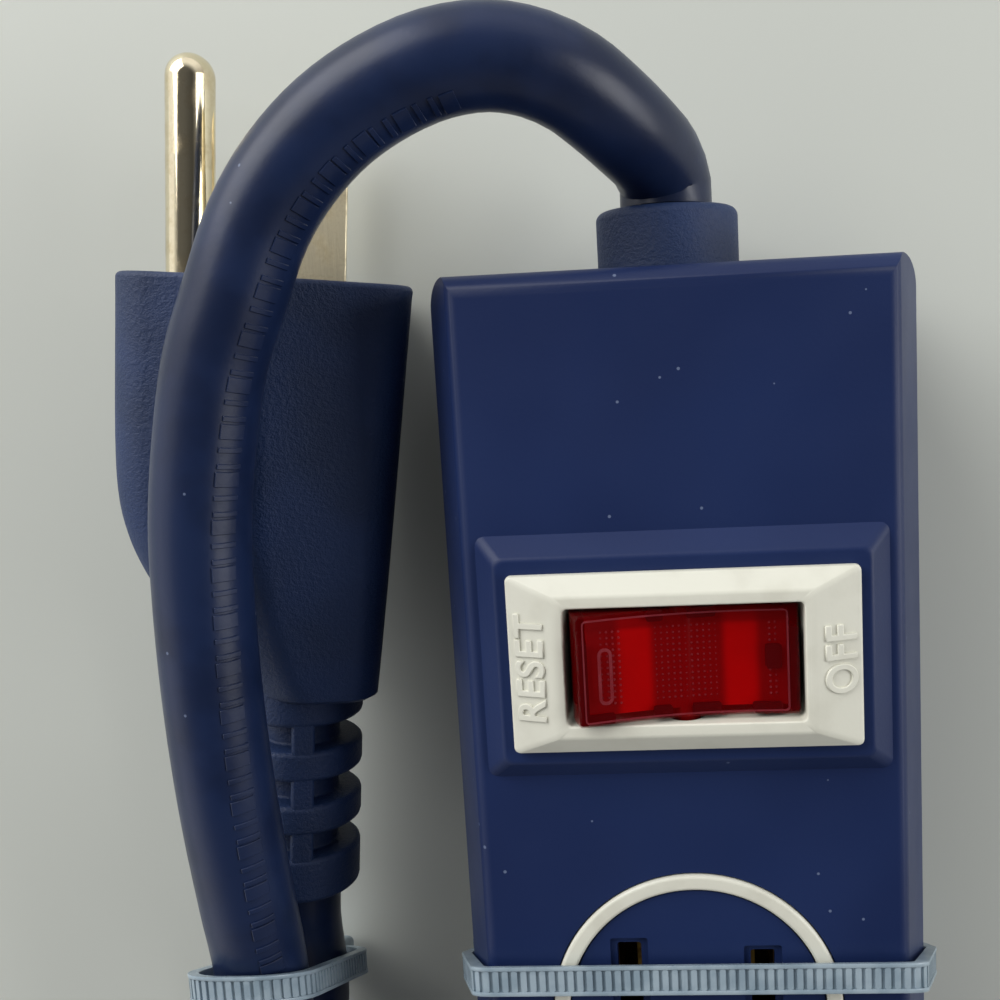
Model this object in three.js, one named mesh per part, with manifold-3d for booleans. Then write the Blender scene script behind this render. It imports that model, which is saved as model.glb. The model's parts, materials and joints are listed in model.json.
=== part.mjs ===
// A surge protector power strip with a lighted rocker switch, six outlets in one row, and its
// mains cord with a moulded plug, tied up as it is sold.
// Millimetres. X runs across the strip, Y along it towards the end where the cord leaves, Z is up.
// The strip lies on its back, and the origin is on the surface under the middle of the strip.
import * as THREE from 'three';
import { mergeVertices } from 'three/addons/utils/BufferGeometryUtils.js';
import Module from 'manifold-3d';

const wasm = await Module();
wasm.setup();

// Housing
const stripLength = 280;
const stripHeight = 30;
const faceWidth = 39.9;
const waistWidth = 47.2;
const backWidth = 44;
const waistDrop = 10.6;
const footHeight = 1.9;
const wall = 2;
const endWall = 2.4;
const endRound = 2;
const cornerRound = 2.6;
const sideRound = 1;
const seamGap = 0.3;

// Clearances
const fitGap = 0.3;
const swingGap = 0.35;
const cutOverrun = 1;

// Outlets: as many as the length holds
const outletPitch = 37;
const firstOutletDrop = 70.4;
const lastOutletMargin = 24;
const outletCount = Math.floor((stripLength - firstOutletDrop - lastOutletMargin) / outletPitch) + 1;
const ringRadius = 13.8;
const ringBand = 1.5;
const ringProud = 0.4;
const ringDepth = 1;
const slotSpacing = 12.7;
const slotWidth = 2.3;
const neutralSlotLength = 8.8;
const lineSlotLength = 7;
const slotRise = 2.4;
const slotRecess = 0.5;
const slotRecessRim = 0.65;
const groundDrop = 11.9;
const groundRadius = 2.65;

// Switch
const switchDrop = 35.1;
const surroundLength = 37.5;
const surroundWidth = 22.9;
const surroundSlope = 1.9;
const surroundRise = 2;
const bezelLength = 31.5;
const bezelWidth = 16.4;
const bezelEdge = 0.9;
const bezelRise = 1.4;
const bezelRidge = 1.1;
const windowLength = 21.2;
const windowWidth = 10.7;
const switchBodyLength = 28.6;
const switchBodyWidth = 13.4;
const switchBodyDepth = 13.5;
const switchBodyWall = 1.2;
const skirtDepth = 4.2;
const rockerTilt = 7.6;
const rockerPivotDrop = 2.8;
const rockerDip = 1.9;
const rockerCrest = 3.2;
const rockerDepth = 4;
const pivotRadius = 1.3;
const pivotReach = 1.1;
const stemRadius = 2.6;
const stemDepth = 8;
const stemBore = 1.7;
const plungerRadius = 1.3;
const plungerLength = 5.3;
const springLength = 3.3;
const armDrop = 11;
const armLength = 16;
const armWidth = 5;
const armThickness = 0.8;
const contactRadius = 1.2;
const contactHeight = 0.6;
const terminalWidth = 6.3;
const terminalThickness = 0.8;
const terminalClearance = 3.1;
const terminalSpread = 8.4;
const lampRadius = 1.6;
const lampSpread = 6.2;
const lampDrop = 7.5;
const resistorRadius = 1.1;
const resistorLength = 5;
const leadRadius = 0.4;

// Contacts and electronics
const carrierFloor = 12;
const carrierThickness = 1.6;
const carrierWidth = 26;
const carrierMargin = 12;
const busThickness = 0.8;
const busWidth = 5.8;
const groundBusWidth = 6.8;
const leafThickness = 0.6;
const leafLength = 6;
const leafClearance = 1.7;
const groundLeafClearance = 4.1;
const bladeThickness = 1.5;
const bladeWidth = 6.35;
const bladeLength = 17.9;
const groundPinRadius = 2.4;
const groundPinLength = 21.8;
const ribThickness = 1.6;
const ribWidth = 34;
const boardWidth = 24;
const boardLength = 58;
const boardThickness = 1.4;
const boardDrop = 62.5;
const standoffRadius = 2.4;
const standoffHeight = 1.5;
const varistorCount = 3;
const varistorRadius = 6;
const varistorThickness = 3.8;
const fuseRadius = 1.7;
const fuseLength = 11;
const capacitorLength = 12;
const capacitorWidth = 5;
const capacitorHeight = 3.6;
const wireRadius = 1.4;
const wireSpread = 3.2;
const wireRise = 2.5;
const wireDrop = 2;
const wireLane = 11.6;

// Screws and bosses
const screwSpread = 17.4;
const bossRadius = 4;
const screwRadius = 1.2;
const screwHeadRadius = 2.4;
const screwHeadHeight = 2;
const screwSeat = 9;
const screwTopDrop = 5;
const screwEndInset = 10;
const padLength = 14;
const padWidth = 30;
const padInset = 16;
const keyholeRadius = 4;
const keyholeSlot = 4.6;
const keyholeReach = 9;
const keyholeInset = 62;

// Cord, plug and ties
const cordDiameter = 9.2;
const collarRadius = 7.1;
const collarReach = 6;
const collarNeckRadius = 5.7;
const collarLip = 2.3;
const cordLevelShare = 0.7161;
const plugLength = 43;
const plugRight = 9.8;
const plugLobe = 18.8;
const plugTaper = 2.4;
const plugHalfThickness = 10.5;
const plugLobeRadius = 7.4;
const plugShoulder = 5;
const plugPocketDepth = 12;
const plugPocketWall = 2.6;
const plugCoreSink = 9;
const plugYaw = -5.6;
const plugRoll = 20;
const plugPlace = [-37.5, 1.2, 12.9];
const reliefRadius = 6.6;
const reliefCoreRadius = 4.1;
const reliefSpine = 2.4;
const reliefOffset = 0.4;
const reliefCollar = 3.4;
const reliefSlot = 2.7;
const reliefRib = 3.3;
const reliefEnd = 5;
const tieThickness = 1.1;
const tieWidth = 3;
const tieHeadLength = 5.5;
const tieHeadThickness = 3.4;
const tieHeadWidth = 5;
const tieLean = 24;

// Derived levels
const cordEnd = stripLength / 2;
const farEnd = -stripLength / 2;
const seamTop = stripHeight - waistDrop;
const seamBottom = seamTop - seamGap;
const ceiling = stripHeight - wall;
const floor = footHeight + wall;
const cordLevel = floor + cordLevelShare * (seamTop - floor);
const switchY = cordEnd - switchDrop;
const surroundTop = stripHeight + surroundRise;
const bezelRim = surroundTop + bezelEdge + bezelRise;
const pivotZ = bezelRim - rockerPivotDrop;
const skirtBottom = surroundTop - skirtDepth;
const switchTop = skirtBottom - fitGap;
const switchFloor = switchTop - switchBodyDepth;
const outletY = Array.from({ length: outletCount }, (_, i) => cordEnd - firstOutletDrop - i * outletPitch);

const finish = (color, roughness, metalness = 0) =>
  new THREE.MeshStandardMaterial({ color, roughness, metalness });
const finishes = {
  navy: finish(0x202d50, 0.5),
  navyCord: finish(0x1e2a4b, 0.42),
  white: finish(0xe4e6d7, 0.45),
  red: finish(0x960005, 0.15),
  black: finish(0x1b1b1d, 0.5),
  brass: finish(0xb89146, 0.3, 1),
  nickel: finish(0xc9c3ae, 0.25, 1),
  steel: finish(0x9a9c9e, 0.35, 1),
  cream: finish(0xd8d3bd, 0.6),
  board: finish(0x2f6b3f, 0.55),
  varistor: finish(0x2a52a3, 0.45),
  glass: finish(0xe8a060, 0.1),
  tie: finish(0x9eacb3, 0.4),
  lineWire: finish(0x151515, 0.5),
  neutralWire: finish(0xe6e6e0, 0.5),
  groundWire: finish(0x2f7d3a, 0.5),
};

// Solids
function signedVolume(position, index) {
  let total = 0;
  const [a, b, c] = [new THREE.Vector3(), new THREE.Vector3(), new THREE.Vector3()];
  for (let i = 0; i < index.length; i += 3) {
    a.fromBufferAttribute(position, index[i]);
    b.fromBufferAttribute(position, index[i + 1]);
    c.fromBufferAttribute(position, index[i + 2]);
    total += a.dot(b.cross(c));
  }
  return total;
}

function solid(geometry) {
  const bare = geometry.clone();
  bare.deleteAttribute('normal');
  bare.deleteAttribute('uv');
  const merged = mergeVertices(bare);
  const triangles = Uint32Array.from(merged.index.array);
  if (signedVolume(merged.attributes.position, triangles) < 0) triangles.reverse();
  const vertices = Float32Array.from(merged.attributes.position.array);
  return new wasm.Manifold(new wasm.Mesh({ numProp: 3, vertProperties: vertices, triVerts: triangles }));
}

function geometryOf(body) {
  const mesh = body.getMesh();
  const geometry = new THREE.BufferGeometry();
  geometry.setAttribute('position', new THREE.BufferAttribute(Float32Array.from(mesh.vertProperties), 3));
  geometry.setIndex(new THREE.BufferAttribute(Uint32Array.from(mesh.triVerts), 1));
  geometry.computeVertexNormals();
  return geometry;
}

const joined = (first, ...rest) => rest.reduce((sum, next) => sum.add(next), first);
const cut = (body, ...tools) => tools.reduce((rest, tool) => rest.subtract(tool), body);

function slab([x0, x1], [y0, y1], [z0, z1]) {
  const geometry = new THREE.BoxGeometry(x1 - x0, y1 - y0, z1 - z0);
  return solid(geometry.translate((x0 + x1) / 2, (y0 + y1) / 2, (z0 + z1) / 2));
}

const about = (centre, size) => [centre - size / 2, centre + size / 2];

// A vertical round post, or a hole
function post(x, y, radius, [z0, z1], sides = 16) {
  const geometry = new THREE.CylinderGeometry(radius, radius, z1 - z0, sides);
  return solid(geometry.rotateX(Math.PI / 2).translate(x, y, (z0 + z1) / 2));
}

// A round bar along Y
function bar(x, z, radius, [y0, y1], sides = 12) {
  const geometry = new THREE.CylinderGeometry(radius, radius, y1 - y0, sides);
  return solid(geometry.translate(x, (y0 + y1) / 2, z));
}

function extruded(points, depth) {
  const shape = points instanceof THREE.Shape ? points : new THREE.Shape(points);
  return new THREE.ExtrudeGeometry(shape, { depth, bevelEnabled: false, curveSegments: 4 });
}

const points2 = (pairs) => pairs.map(([a, b]) => new THREE.Vector2(a, b));

// An outline in X and Z, run along Y
function runAlongY(pairs, [y0, y1]) {
  const geometry = extruded(points2(pairs), y1 - y0);
  return solid(geometry.rotateX(Math.PI / 2).translate(0, y1, 0));
}

// An outline in Y and Z, run along X
function runAlongX(pairs, [x0, x1]) {
  const geometry = extruded(points2(pairs), x1 - x0);
  const turn = new THREE.Matrix4().makeBasis(
    new THREE.Vector3(0, 1, 0), new THREE.Vector3(0, 0, 1), new THREE.Vector3(1, 0, 0));
  return solid(geometry.applyMatrix4(turn).translate(x0, 0, 0));
}

// An outline in X and Y, run along Z
const runAlongZ = (pairs, [z0, z1]) => solid(extruded(points2(pairs), z1 - z0).translate(0, 0, z0));

// The corner points of a rectangle with rounded corners
function roundedRectangle([x0, x1], [y0, y1], radius, steps = 3) {
  const corners = [[x1 - radius, y1 - radius, 0], [x0 + radius, y1 - radius, 1],
    [x0 + radius, y0 + radius, 2], [x1 - radius, y0 + radius, 3]];
  return corners.flatMap(([x, y, quarter]) => Array.from({ length: steps + 1 }, (_, i) => {
    const angle = (quarter + i / steps) * Math.PI / 2;
    return [x + radius * Math.cos(angle), y + radius * Math.sin(angle)];
  }));
}

// A body turned on an axis along Y, from pairs of radius and Y
const turned = (pairs, sides = 24) => solid(new THREE.LatheGeometry(points2(pairs), sides));

// A skin over rings that have the same number of points, with both ends closed
function loft(rings) {
  const count = rings[0].length;
  const vertices = rings.flat();
  const index = [];
  for (let r = 0; r + 1 < rings.length; r += 1) {
    for (let i = 0; i < count; i += 1) {
      const [a, b] = [r * count + i, r * count + (i + 1) % count];
      index.push(a, b, b + count, a, b + count, a + count);
    }
  }
  for (const [first, flip] of [[0, true], [(rings.length - 1) * count, false]]) {
    const centre = vertices.length;
    const middle = new THREE.Vector3();
    for (let i = 0; i < count; i += 1) middle.addScaledVector(vertices[first + i], 1 / count);
    vertices.push(middle);
    for (let i = 0; i < count; i += 1) {
      const [a, b] = [first + i, first + (i + 1) % count];
      index.push(centre, flip ? b : a, flip ? a : b);
    }
  }
  const geometry = new THREE.BufferGeometry();
  const numbers = vertices.flatMap((v) => v.toArray());
  geometry.setAttribute('position', new THREE.Float32BufferAttribute(numbers, 3));
  geometry.setIndex(index);
  return solid(geometry);
}

// A round tube along a list of places, with square ends
function tube(places, radius, sides, steps) {
  const section = new THREE.Shape(Array.from({ length: sides }, (_, i) => {
    const angle = 2 * Math.PI * i / sides;
    return new THREE.Vector2(radius * Math.cos(angle), radius * Math.sin(angle));
  }));
  const extrudePath = new THREE.CatmullRomCurve3(places, false, 'centripetal');
  return solid(new THREE.ExtrudeGeometry(section, { steps, bevelEnabled: false, extrudePath }));
}

const strip = new THREE.Group();

function add(name, body, material, parent = strip) {
  const mesh = new THREE.Mesh(geometryOf(body), material);
  mesh.name = name;
  parent.add(mesh);
  return mesh;
}

// Housing: one outline across, one along and one in plan, and what all three hold in common
const alongStrip = [farEnd, cordEnd];

function shellBlank(across, [z0, z1], roundTop) {
  const section = runAlongY(across, alongStrip);
  const plan = runAlongZ(roundedRectangle(about(0, waistWidth), alongStrip, cornerRound), [z0, z1]);
  const edge = roundTop ? [z0, z1] : [z1, z0];
  const turn = Math.sign(edge[1] - edge[0]);
  const steps = 3;
  const ends = [[farEnd, edge[0]], [cordEnd, edge[0]]];
  for (const [end, side] of [[cordEnd, 1], [farEnd, -1]]) {
    for (let i = 0; i <= steps; i += 1) {
      const angle = (side > 0 ? i : steps - i) / steps * Math.PI / 2;
      const y = end - side * endRound * (1 - Math.cos(angle));
      ends.push([y, edge[1] - turn * endRound * (1 - Math.sin(angle))]);
    }
  }
  const outline = turn > 0 ? ends : ends.slice().reverse();
  return section.intersect(plan).intersect(runAlongX(outline, about(0, waistWidth)));
}

const sideSlope = (waistWidth - faceWidth) / 2 / waistDrop;
const topSection = [
  [waistWidth / 2, seamTop], [faceWidth / 2 + sideRound * sideSlope, stripHeight - sideRound],
  [faceWidth / 2 - sideRound, stripHeight], [-faceWidth / 2 + sideRound, stripHeight],
  [-faceWidth / 2 - sideRound * sideSlope, stripHeight - sideRound], [-waistWidth / 2, seamTop],
];
const topCavity = [
  [waistWidth / 2 - wall, seamTop - cutOverrun], [waistWidth / 2 - wall, seamTop],
  [faceWidth / 2 - wall, ceiling], [-faceWidth / 2 + wall, ceiling],
  [-waistWidth / 2 + wall, seamTop], [-waistWidth / 2 + wall, seamTop - cutOverrun],
];
const bottomSection = [
  [waistWidth / 2, seamBottom], [-waistWidth / 2, seamBottom],
  [-backWidth / 2, footHeight + sideRound], [-backWidth / 2 + sideRound, footHeight],
  [backWidth / 2 - sideRound, footHeight], [backWidth / 2, footHeight + sideRound],
];
const bottomCavity = [
  [waistWidth / 2 - wall, seamBottom + cutOverrun], [-waistWidth / 2 + wall, seamBottom + cutOverrun],
  [-waistWidth / 2 + wall, seamBottom], [-backWidth / 2 + wall, floor],
  [backWidth / 2 - wall, floor], [waistWidth / 2 - wall, seamBottom],
];
const cavityRun = [farEnd + endWall, cordEnd - endWall];
const screwPlaces = [cordEnd - screwEndInset, 0, farEnd + screwEndInset]
  .flatMap((y) => [-screwSpread, screwSpread].map((x) => [x, y]));
const collarBore = bar(0, cordLevel, collarNeckRadius + fitGap,
  [cordEnd - endWall - cutOverrun, cordEnd + cutOverrun], 24);
const groundHoleY = (y) => y + slotRise - groundDrop;

function outletCuts(y) {
  const through = [ceiling - cutOverrun, stripHeight + cutOverrun];
  const recess = [stripHeight - slotRecess, stripHeight + cutOverrun];
  const grooveFloor = stripHeight - ringDepth;
  const groove = cut(
    post(0, y, ringRadius + fitGap, [grooveFloor, stripHeight + cutOverrun], 24),
    post(0, y, ringRadius - ringBand - fitGap, [grooveFloor - cutOverrun, stripHeight + 2 * cutOverrun], 24));
  const slots = [[-1, neutralSlotLength], [1, lineSlotLength]].flatMap(([side, length]) => {
    const x = side * slotSpacing / 2;
    return [
      slab(about(x, slotWidth), about(y + slotRise, length), through),
      slab(about(x, slotWidth + 2 * slotRecessRim), about(y + slotRise, length + 2 * slotRecessRim), recess),
    ];
  });
  const holeY = groundHoleY(y);
  const ground = joined(post(0, holeY, groundRadius, through, 16),
    slab(about(0, 2 * groundRadius), [holeY, holeY + groundRadius], through));
  return [groove, ...slots, ground];
}

// A rounded rectangle round the switch, at one level
function switchRing(length, width, level, radius, steps) {
  const outline = roundedRectangle(about(0, length), about(switchY, width), radius, steps);
  return outline.map(([x, y]) => new THREE.Vector3(x, y, level));
}

function surround() {
  const [insideLength, insideWidth] = [surroundLength, surroundWidth].map((size) => size - 2 * surroundSlope);
  return loft([
    switchRing(surroundLength, surroundWidth, ceiling, sideRound),
    switchRing(surroundLength, surroundWidth, stripHeight, sideRound),
    switchRing(insideLength, insideWidth, surroundTop, sideRound),
  ]);
}

const switchHole = slab(about(0, switchBodyLength + 2 * fitGap), about(switchY, switchBodyWidth + 2 * fitGap),
  [ceiling - cutOverrun, surroundTop + cutOverrun]);
const screwTop = stripHeight - screwTopDrop;
const screwHole = ([x, y]) => post(x, y, screwRadius + fitGap, [floor, screwTop + fitGap], 12);

function topShell() {
  const shell = cut(shellBlank(topSection, [seamTop, stripHeight], true), runAlongY(topCavity, cavityRun));
  const posts = screwPlaces.map(([x, y]) => post(x, y, bossRadius, [seamTop, ceiling + wall / 2]));
  const inside = shellBlank(topSection, [seamTop, stripHeight], true);
  const whole = joined(shell, surround(), ...posts.map((p) => p.intersect(inside)));
  return cut(whole, switchHole, collarBore, ...screwPlaces.map(screwHole), ...outletY.flatMap(outletCuts));
}

const ribPlaces = outletY.slice(0, -1).map((y) => y - outletPitch / 2)
  .filter((y) => Math.abs(y) > padLength && y < cordEnd - boardDrop - boardLength);
const standoffPlaces = [-1, 1].flatMap((x) => [-1, 1].map((y) => [
  x * (boardWidth / 2 - standoffRadius),
  cordEnd - boardDrop - boardLength / 2 + y * (boardLength / 2 - standoffRadius),
]));
const boardLevel = floor + standoffHeight + fitGap;
const carrierRun = [outletY.at(-1) - carrierMargin, outletY[0] + carrierMargin];
const padPlaces = [farEnd + padInset, 0, cordEnd - padInset];
const keyholePlaces = [farEnd + keyholeInset, cordEnd - keyholeInset - outletPitch];

function bottomShell() {
  const blank = shellBlank(bottomSection, [footHeight, seamBottom], false);
  const shell = cut(blank, runAlongY(bottomCavity, cavityRun));
  const bossRun = [footHeight, seamBottom];
  const bosses = screwPlaces.map(([x, y]) => post(x, y, bossRadius, bossRun).intersect(blank));
  const inFloor = floor - wall / 2;
  const ribRun = [inFloor, carrierFloor - fitGap];
  const ribs = [carrierRun[0] + ribThickness, ...ribPlaces, carrierRun[1] - ribThickness]
    .map((y) => slab(about(0, ribWidth), about(y, ribThickness), ribRun));
  const standoffRun = [inFloor, floor + standoffHeight];
  const standoffs = standoffPlaces.map(([x, y]) => post(x, y, standoffRadius, standoffRun, 12));
  const pads = padPlaces.map((y) => slab(about(0, padWidth), about(y, padLength), [0, inFloor]));
  const seatRun = [-cutOverrun, screwSeat];
  const seats = screwPlaces.map(([x, y]) => post(x, y, screwHeadRadius + fitGap, seatRun));
  const through = [-cutOverrun, floor + cutOverrun];
  const keyholes = keyholePlaces.map((y) => joined(post(0, y, keyholeRadius, through),
    slab(about(0, keyholeSlot), [y, y + keyholeReach], through)));
  return cut(joined(shell, ...bosses, ...ribs, ...standoffs, ...pads),
    collarBore, ...seats, ...screwPlaces.map(screwHole), ...keyholes);
}

add('top_shell', topShell(), finishes.navy);
add('bottom_shell', bottomShell(), finishes.navy);

// A white trim ring pressed into a groove round each outlet
function outletRing(y) {
  const inner = ringRadius - ringBand;
  const [foot, top] = [stripHeight - ringDepth + fitGap, stripHeight + ringProud];
  const shoulder = top - ringProud / 2;
  const ring = turned([[inner, foot], [ringRadius, foot], [ringRadius, shoulder],
    [ringRadius - ringBand / 4, top], [inner + ringBand / 4, top], [inner, shoulder], [inner, foot]]);
  return solid(geometryOf(ring).rotateX(Math.PI / 2).translate(0, y, 0));
}
outletY.forEach((y, i) => add(`outlet_ring_${i + 1}`, outletRing(y), finishes.white));

function shellScrew([x, y]) {
  const head = [screwSeat - fitGap - screwHeadHeight, screwSeat - fitGap];
  const shank = [head[1] - screwHeadHeight / 2, screwTop];
  return joined(post(x, y, screwHeadRadius, head), post(x, y, screwRadius, shank, 10));
}
screwPlaces.forEach((place, i) => add(`shell_screw_${i + 1}`, shellScrew(place), finishes.steel));

// Switch: the white frame, whose four faces rise to the window like a hipped roof, and its case
function switchBezel() {
  const round = sideRound / 2;
  const edge = surroundTop + bezelEdge;
  const ridge = 2 * bezelRidge;
  const roof = loft([switchRing(bezelLength, bezelWidth, surroundTop, round, 2),
    switchRing(bezelLength, bezelWidth, edge, round, 2),
    switchRing(windowLength + ridge, windowWidth + ridge, bezelRim, round, 2)]);
  const skirt = slab(about(0, switchBodyLength), about(switchY, switchBodyWidth),
    [skirtBottom, surroundTop + bezelEdge / 2]);
  const opening = slab(about(0, windowLength), about(switchY, windowWidth),
    [skirtBottom - cutOverrun, bezelRim + cutOverrun]);
  const pivots = bar(0, pivotZ, pivotRadius + fitGap, about(switchY, switchBodyWidth + 2 * cutOverrun), 16);
  return cut(joined(roof, skirt), opening, pivots);
}
add('switch_bezel', switchBezel(), finishes.white);

const terminalX = { lamp: -terminalSpread, line: 0, load: terminalSpread };
const armZ = pivotZ - armDrop;
const armEnd = armLength / 2 - contactRadius;
const tilt = THREE.MathUtils.degToRad(rockerTilt);
const closedContact = armZ - armEnd * Math.sin(tilt) - armThickness / 2 - contactHeight;

function switchBody() {
  const inside = switchFloor + switchBodyWall;
  const outer = slab(about(0, switchBodyLength), about(switchY, switchBodyWidth), [switchFloor, switchTop]);
  const inner = slab(about(0, switchBodyLength - 2 * switchBodyWall),
    about(switchY, switchBodyWidth - 2 * switchBodyWall), [inside, switchTop + cutOverrun]);
  const passages = Object.values(terminalX).map((x) => slab(about(x, terminalThickness + 2 * fitGap),
    about(switchY, terminalWidth + 2 * fitGap), [switchFloor - cutOverrun, inside + cutOverrun]));
  return cut(outer, inner, ...passages);
}
add('switch_body', switchBody(), finishes.black);

const terminalFoot = floor + terminalClearance;
const terminal = (x, top) =>
  slab(about(x, terminalThickness), about(switchY, terminalWidth), [terminalFoot, top]);
const fulcrumTop = armZ - armThickness / 2 - fitGap;
const padTop = closedContact - fitGap;
const contactPad = slab([armEnd - contactRadius, terminalSpread + terminalThickness / 2],
  about(switchY, armWidth), [padTop - terminalThickness, padTop]);
add('line_terminal', terminal(terminalX.line, fulcrumTop), finishes.brass);
add('load_terminal', joined(terminal(terminalX.load, padTop), contactPad), finishes.brass);
add('lamp_terminal', terminal(terminalX.lamp, switchFloor + 2 * switchBodyWall), finishes.brass);

// The rocker turns on two stubs in the frame; at rest its OFF side is pressed
const rockerGroup = new THREE.Group();
rockerGroup.position.set(0, switchY, pivotZ);
rockerGroup.rotation.y = tilt;
strip.add(rockerGroup);
const rockerReach = windowLength / 2 - swingGap;
const rockerWidth = windowWidth - 2 * swingGap;

function rocker() {
  const edgeAngles = [Math.asin(rockerCrest / rockerReach), Math.asin(-rockerDepth / rockerReach)];
  const steps = 4;
  const rightEnd = Array.from({ length: steps + 1 }, (_, i) => {
    const angle = THREE.MathUtils.lerp(edgeAngles[1], edgeAngles[0], i / steps);
    return [rockerReach * Math.cos(angle), rockerReach * Math.sin(angle)];
  });
  const leftEnd = rightEnd.map(([x, z]) => [-x, z]).reverse();
  const block = runAlongY([...rightEnd, [0, rockerDip], ...leftEnd], about(0, rockerWidth));
  const stubs = bar(0, 0, pivotRadius, about(0, rockerWidth + 2 * pivotReach), 16);
  const stem = post(0, 0, stemRadius, [-stemDepth, -rockerDepth / 2]);
  const shell = rockerDepth / 2;
  const [near, far] = [stemRadius + shell / 2, rockerReach - shell];
  const hollows = [[near, far], [-far, -near]].map((across) =>
    slab(across, about(0, rockerWidth - shell), [-rockerDepth - cutOverrun, 0]));
  const bore = post(0, 0, stemBore, [-stemDepth - cutOverrun, -rockerDepth / 4]);
  return cut(joined(block, stubs, stem), ...hollows, bore);
}
add('rocker', rocker(), finishes.red, rockerGroup);

const springTop = -rockerDepth / 4 - fitGap;
const springFoot = springTop - springLength;
const spring = cut(post(0, 0, stemBore - fitGap, [springFoot, springTop], 12),
  post(0, 0, (stemBore - fitGap) / 2, [springFoot - cutOverrun, springTop + cutOverrun], 12));
add('plunger_spring', spring, finishes.steel, rockerGroup);

function plunger() {
  const top = springFoot - fitGap;
  const tip = top - plungerLength;
  const nose = Array.from({ length: 4 }, (_, i) => {
    const angle = i / 3 * Math.PI / 2;
    return [plungerRadius * Math.sin(angle), tip + plungerRadius * (1 - Math.cos(angle))];
  });
  const body = turned([...nose, [plungerRadius, top], [0, top]], 12);
  return solid(geometryOf(body).rotateX(Math.PI / 2));
}
add('rocker_plunger', plunger(), finishes.cream, rockerGroup);

const armGroup = new THREE.Group();
armGroup.position.set(0, switchY, armZ);
armGroup.rotation.y = -tilt;
strip.add(armGroup);
const arm = joined(slab(about(0, armLength), about(0, armWidth), about(0, armThickness)),
  post(armEnd, 0, contactRadius, [-armThickness / 2 - contactHeight, 0], 12));
add('contact_arm', arm, finishes.brass, armGroup);

// The lamp and its resistor lie across the case, under the rocker, from wall to wall
const caseHalf = switchBodyWidth / 2 - switchBodyWall - fitGap;
const lampZ = pivotZ - lampDrop;
const lampNeck = lampRadius / 2;
function lyingAcross(pairs, x) {
  return solid(geometryOf(turned(pairs, 12)).translate(x, switchY, lampZ));
}
const lampPairs = [[0, -caseHalf], [lampNeck, -caseHalf], [lampRadius, -caseHalf + lampRadius],
  [lampRadius, caseHalf - lampRadius], [lampNeck, caseHalf], [0, caseHalf]];
const resistorHalf = resistorLength / 2;
const resistorPairs = [[0, -caseHalf], [leadRadius, -caseHalf], [leadRadius, -resistorHalf],
  [resistorRadius, -resistorHalf], [resistorRadius, resistorHalf], [leadRadius, resistorHalf],
  [leadRadius, caseHalf], [0, caseHalf]];
add('neon_lamp', lyingAcross(lampPairs, lampSpread), finishes.glass);
add('lamp_resistor', lyingAcross(resistorPairs, -lampSpread), finishes.cream);

// Contacts: a tray, and three brass strips with a pair of leaves at every outlet
const carrierTop = carrierFloor + carrierThickness;
const busFoot = carrierTop + fitGap;
add('contact_carrier', slab(about(0, carrierWidth), carrierRun, [carrierFloor, carrierTop]), finishes.cream);

function leafPair(x, y, gap, height) {
  return [-1, 1].map((side) => slab(about(x + side * (gap + leafThickness) / 2, leafThickness),
    about(y, leafLength), [busFoot, busFoot + height]));
}
function bus(x, width, rise, gap, height) {
  const base = slab(about(x, width), carrierRun, [busFoot, busFoot + busThickness]);
  return joined(base, ...outletY.flatMap((y) => leafPair(x, y + rise, gap, height)));
}
const bladeGap = bladeThickness + fitGap;
const pinGap = 2 * groundRadius + fitGap;
const busX = slotSpacing / 2 + fitGap;
const leafHeight = ceiling - leafClearance - busFoot;
const groundLeafHeight = ceiling - groundLeafClearance - busFoot;
add('line_bus', bus(busX, busWidth, slotRise, bladeGap, leafHeight), finishes.brass);
add('neutral_bus', bus(-busX, busWidth, slotRise, bladeGap, leafHeight), finishes.brass);
add('ground_bus', bus(0, groundBusWidth, slotRise - groundDrop, pinGap, groundLeafHeight), finishes.brass);

// Surge board, on posts under the tray
const boardTop = boardLevel + boardThickness;
const partLevel = boardTop + fitGap;
const boardEnd = cordEnd - boardDrop;
const boardRun = [boardEnd - boardLength, boardEnd];
add('surge_board', slab(about(0, boardWidth), boardRun, [boardLevel, boardTop]), finishes.board);
const varistorPitch = 2 * varistorRadius + 2 * fitGap;
const varistorX = -boardWidth / 2 + varistorRadius + fitGap;
for (let i = 0; i < varistorCount; i += 1) {
  const y = boardEnd - varistorRadius - fitGap - i * varistorPitch;
  const disc = post(varistorX, y, varistorRadius, [partLevel, partLevel + varistorThickness], 20);
  add(`varistor_${i + 1}`, disc, finishes.varistor);
}
const rightLane = boardWidth / 2 - capacitorWidth;
const capacitor = slab(about(rightLane, capacitorWidth),
  [boardEnd - capacitorLength - fitGap, boardEnd - fitGap], [partLevel, partLevel + capacitorHeight]);
add('filter_capacitor', capacitor, finishes.varistor);
const fuseEnd = boardEnd - capacitorLength - varistorRadius;
const fuse = bar(rightLane, partLevel + fuseRadius, fuseRadius, [fuseEnd - fuseLength, fuseEnd]);
add('thermal_fuse', fuse, finishes.cream);

// Cord entry
const inEndWall = cordEnd - endWall - fitGap;
const lipEnd = inEndWall - collarLip;
const outEndWall = cordEnd + fitGap;
const collarRim = fitGap + collarReach;
function cordCollar() {
  const rim = cordEnd + collarRim;
  const body = turned([[0, lipEnd], [collarRadius, lipEnd], [collarRadius, inEndWall],
    [collarNeckRadius, inEndWall], [collarNeckRadius, outEndWall], [collarRadius, outEndWall],
    [collarRadius, rim - fitGap], [collarRadius - fitGap, rim], [0, rim]]);
  return solid(geometryOf(body).translate(0, 0, cordLevel));
}
add('cord_collar', cordCollar(), finishes.navy);

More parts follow.
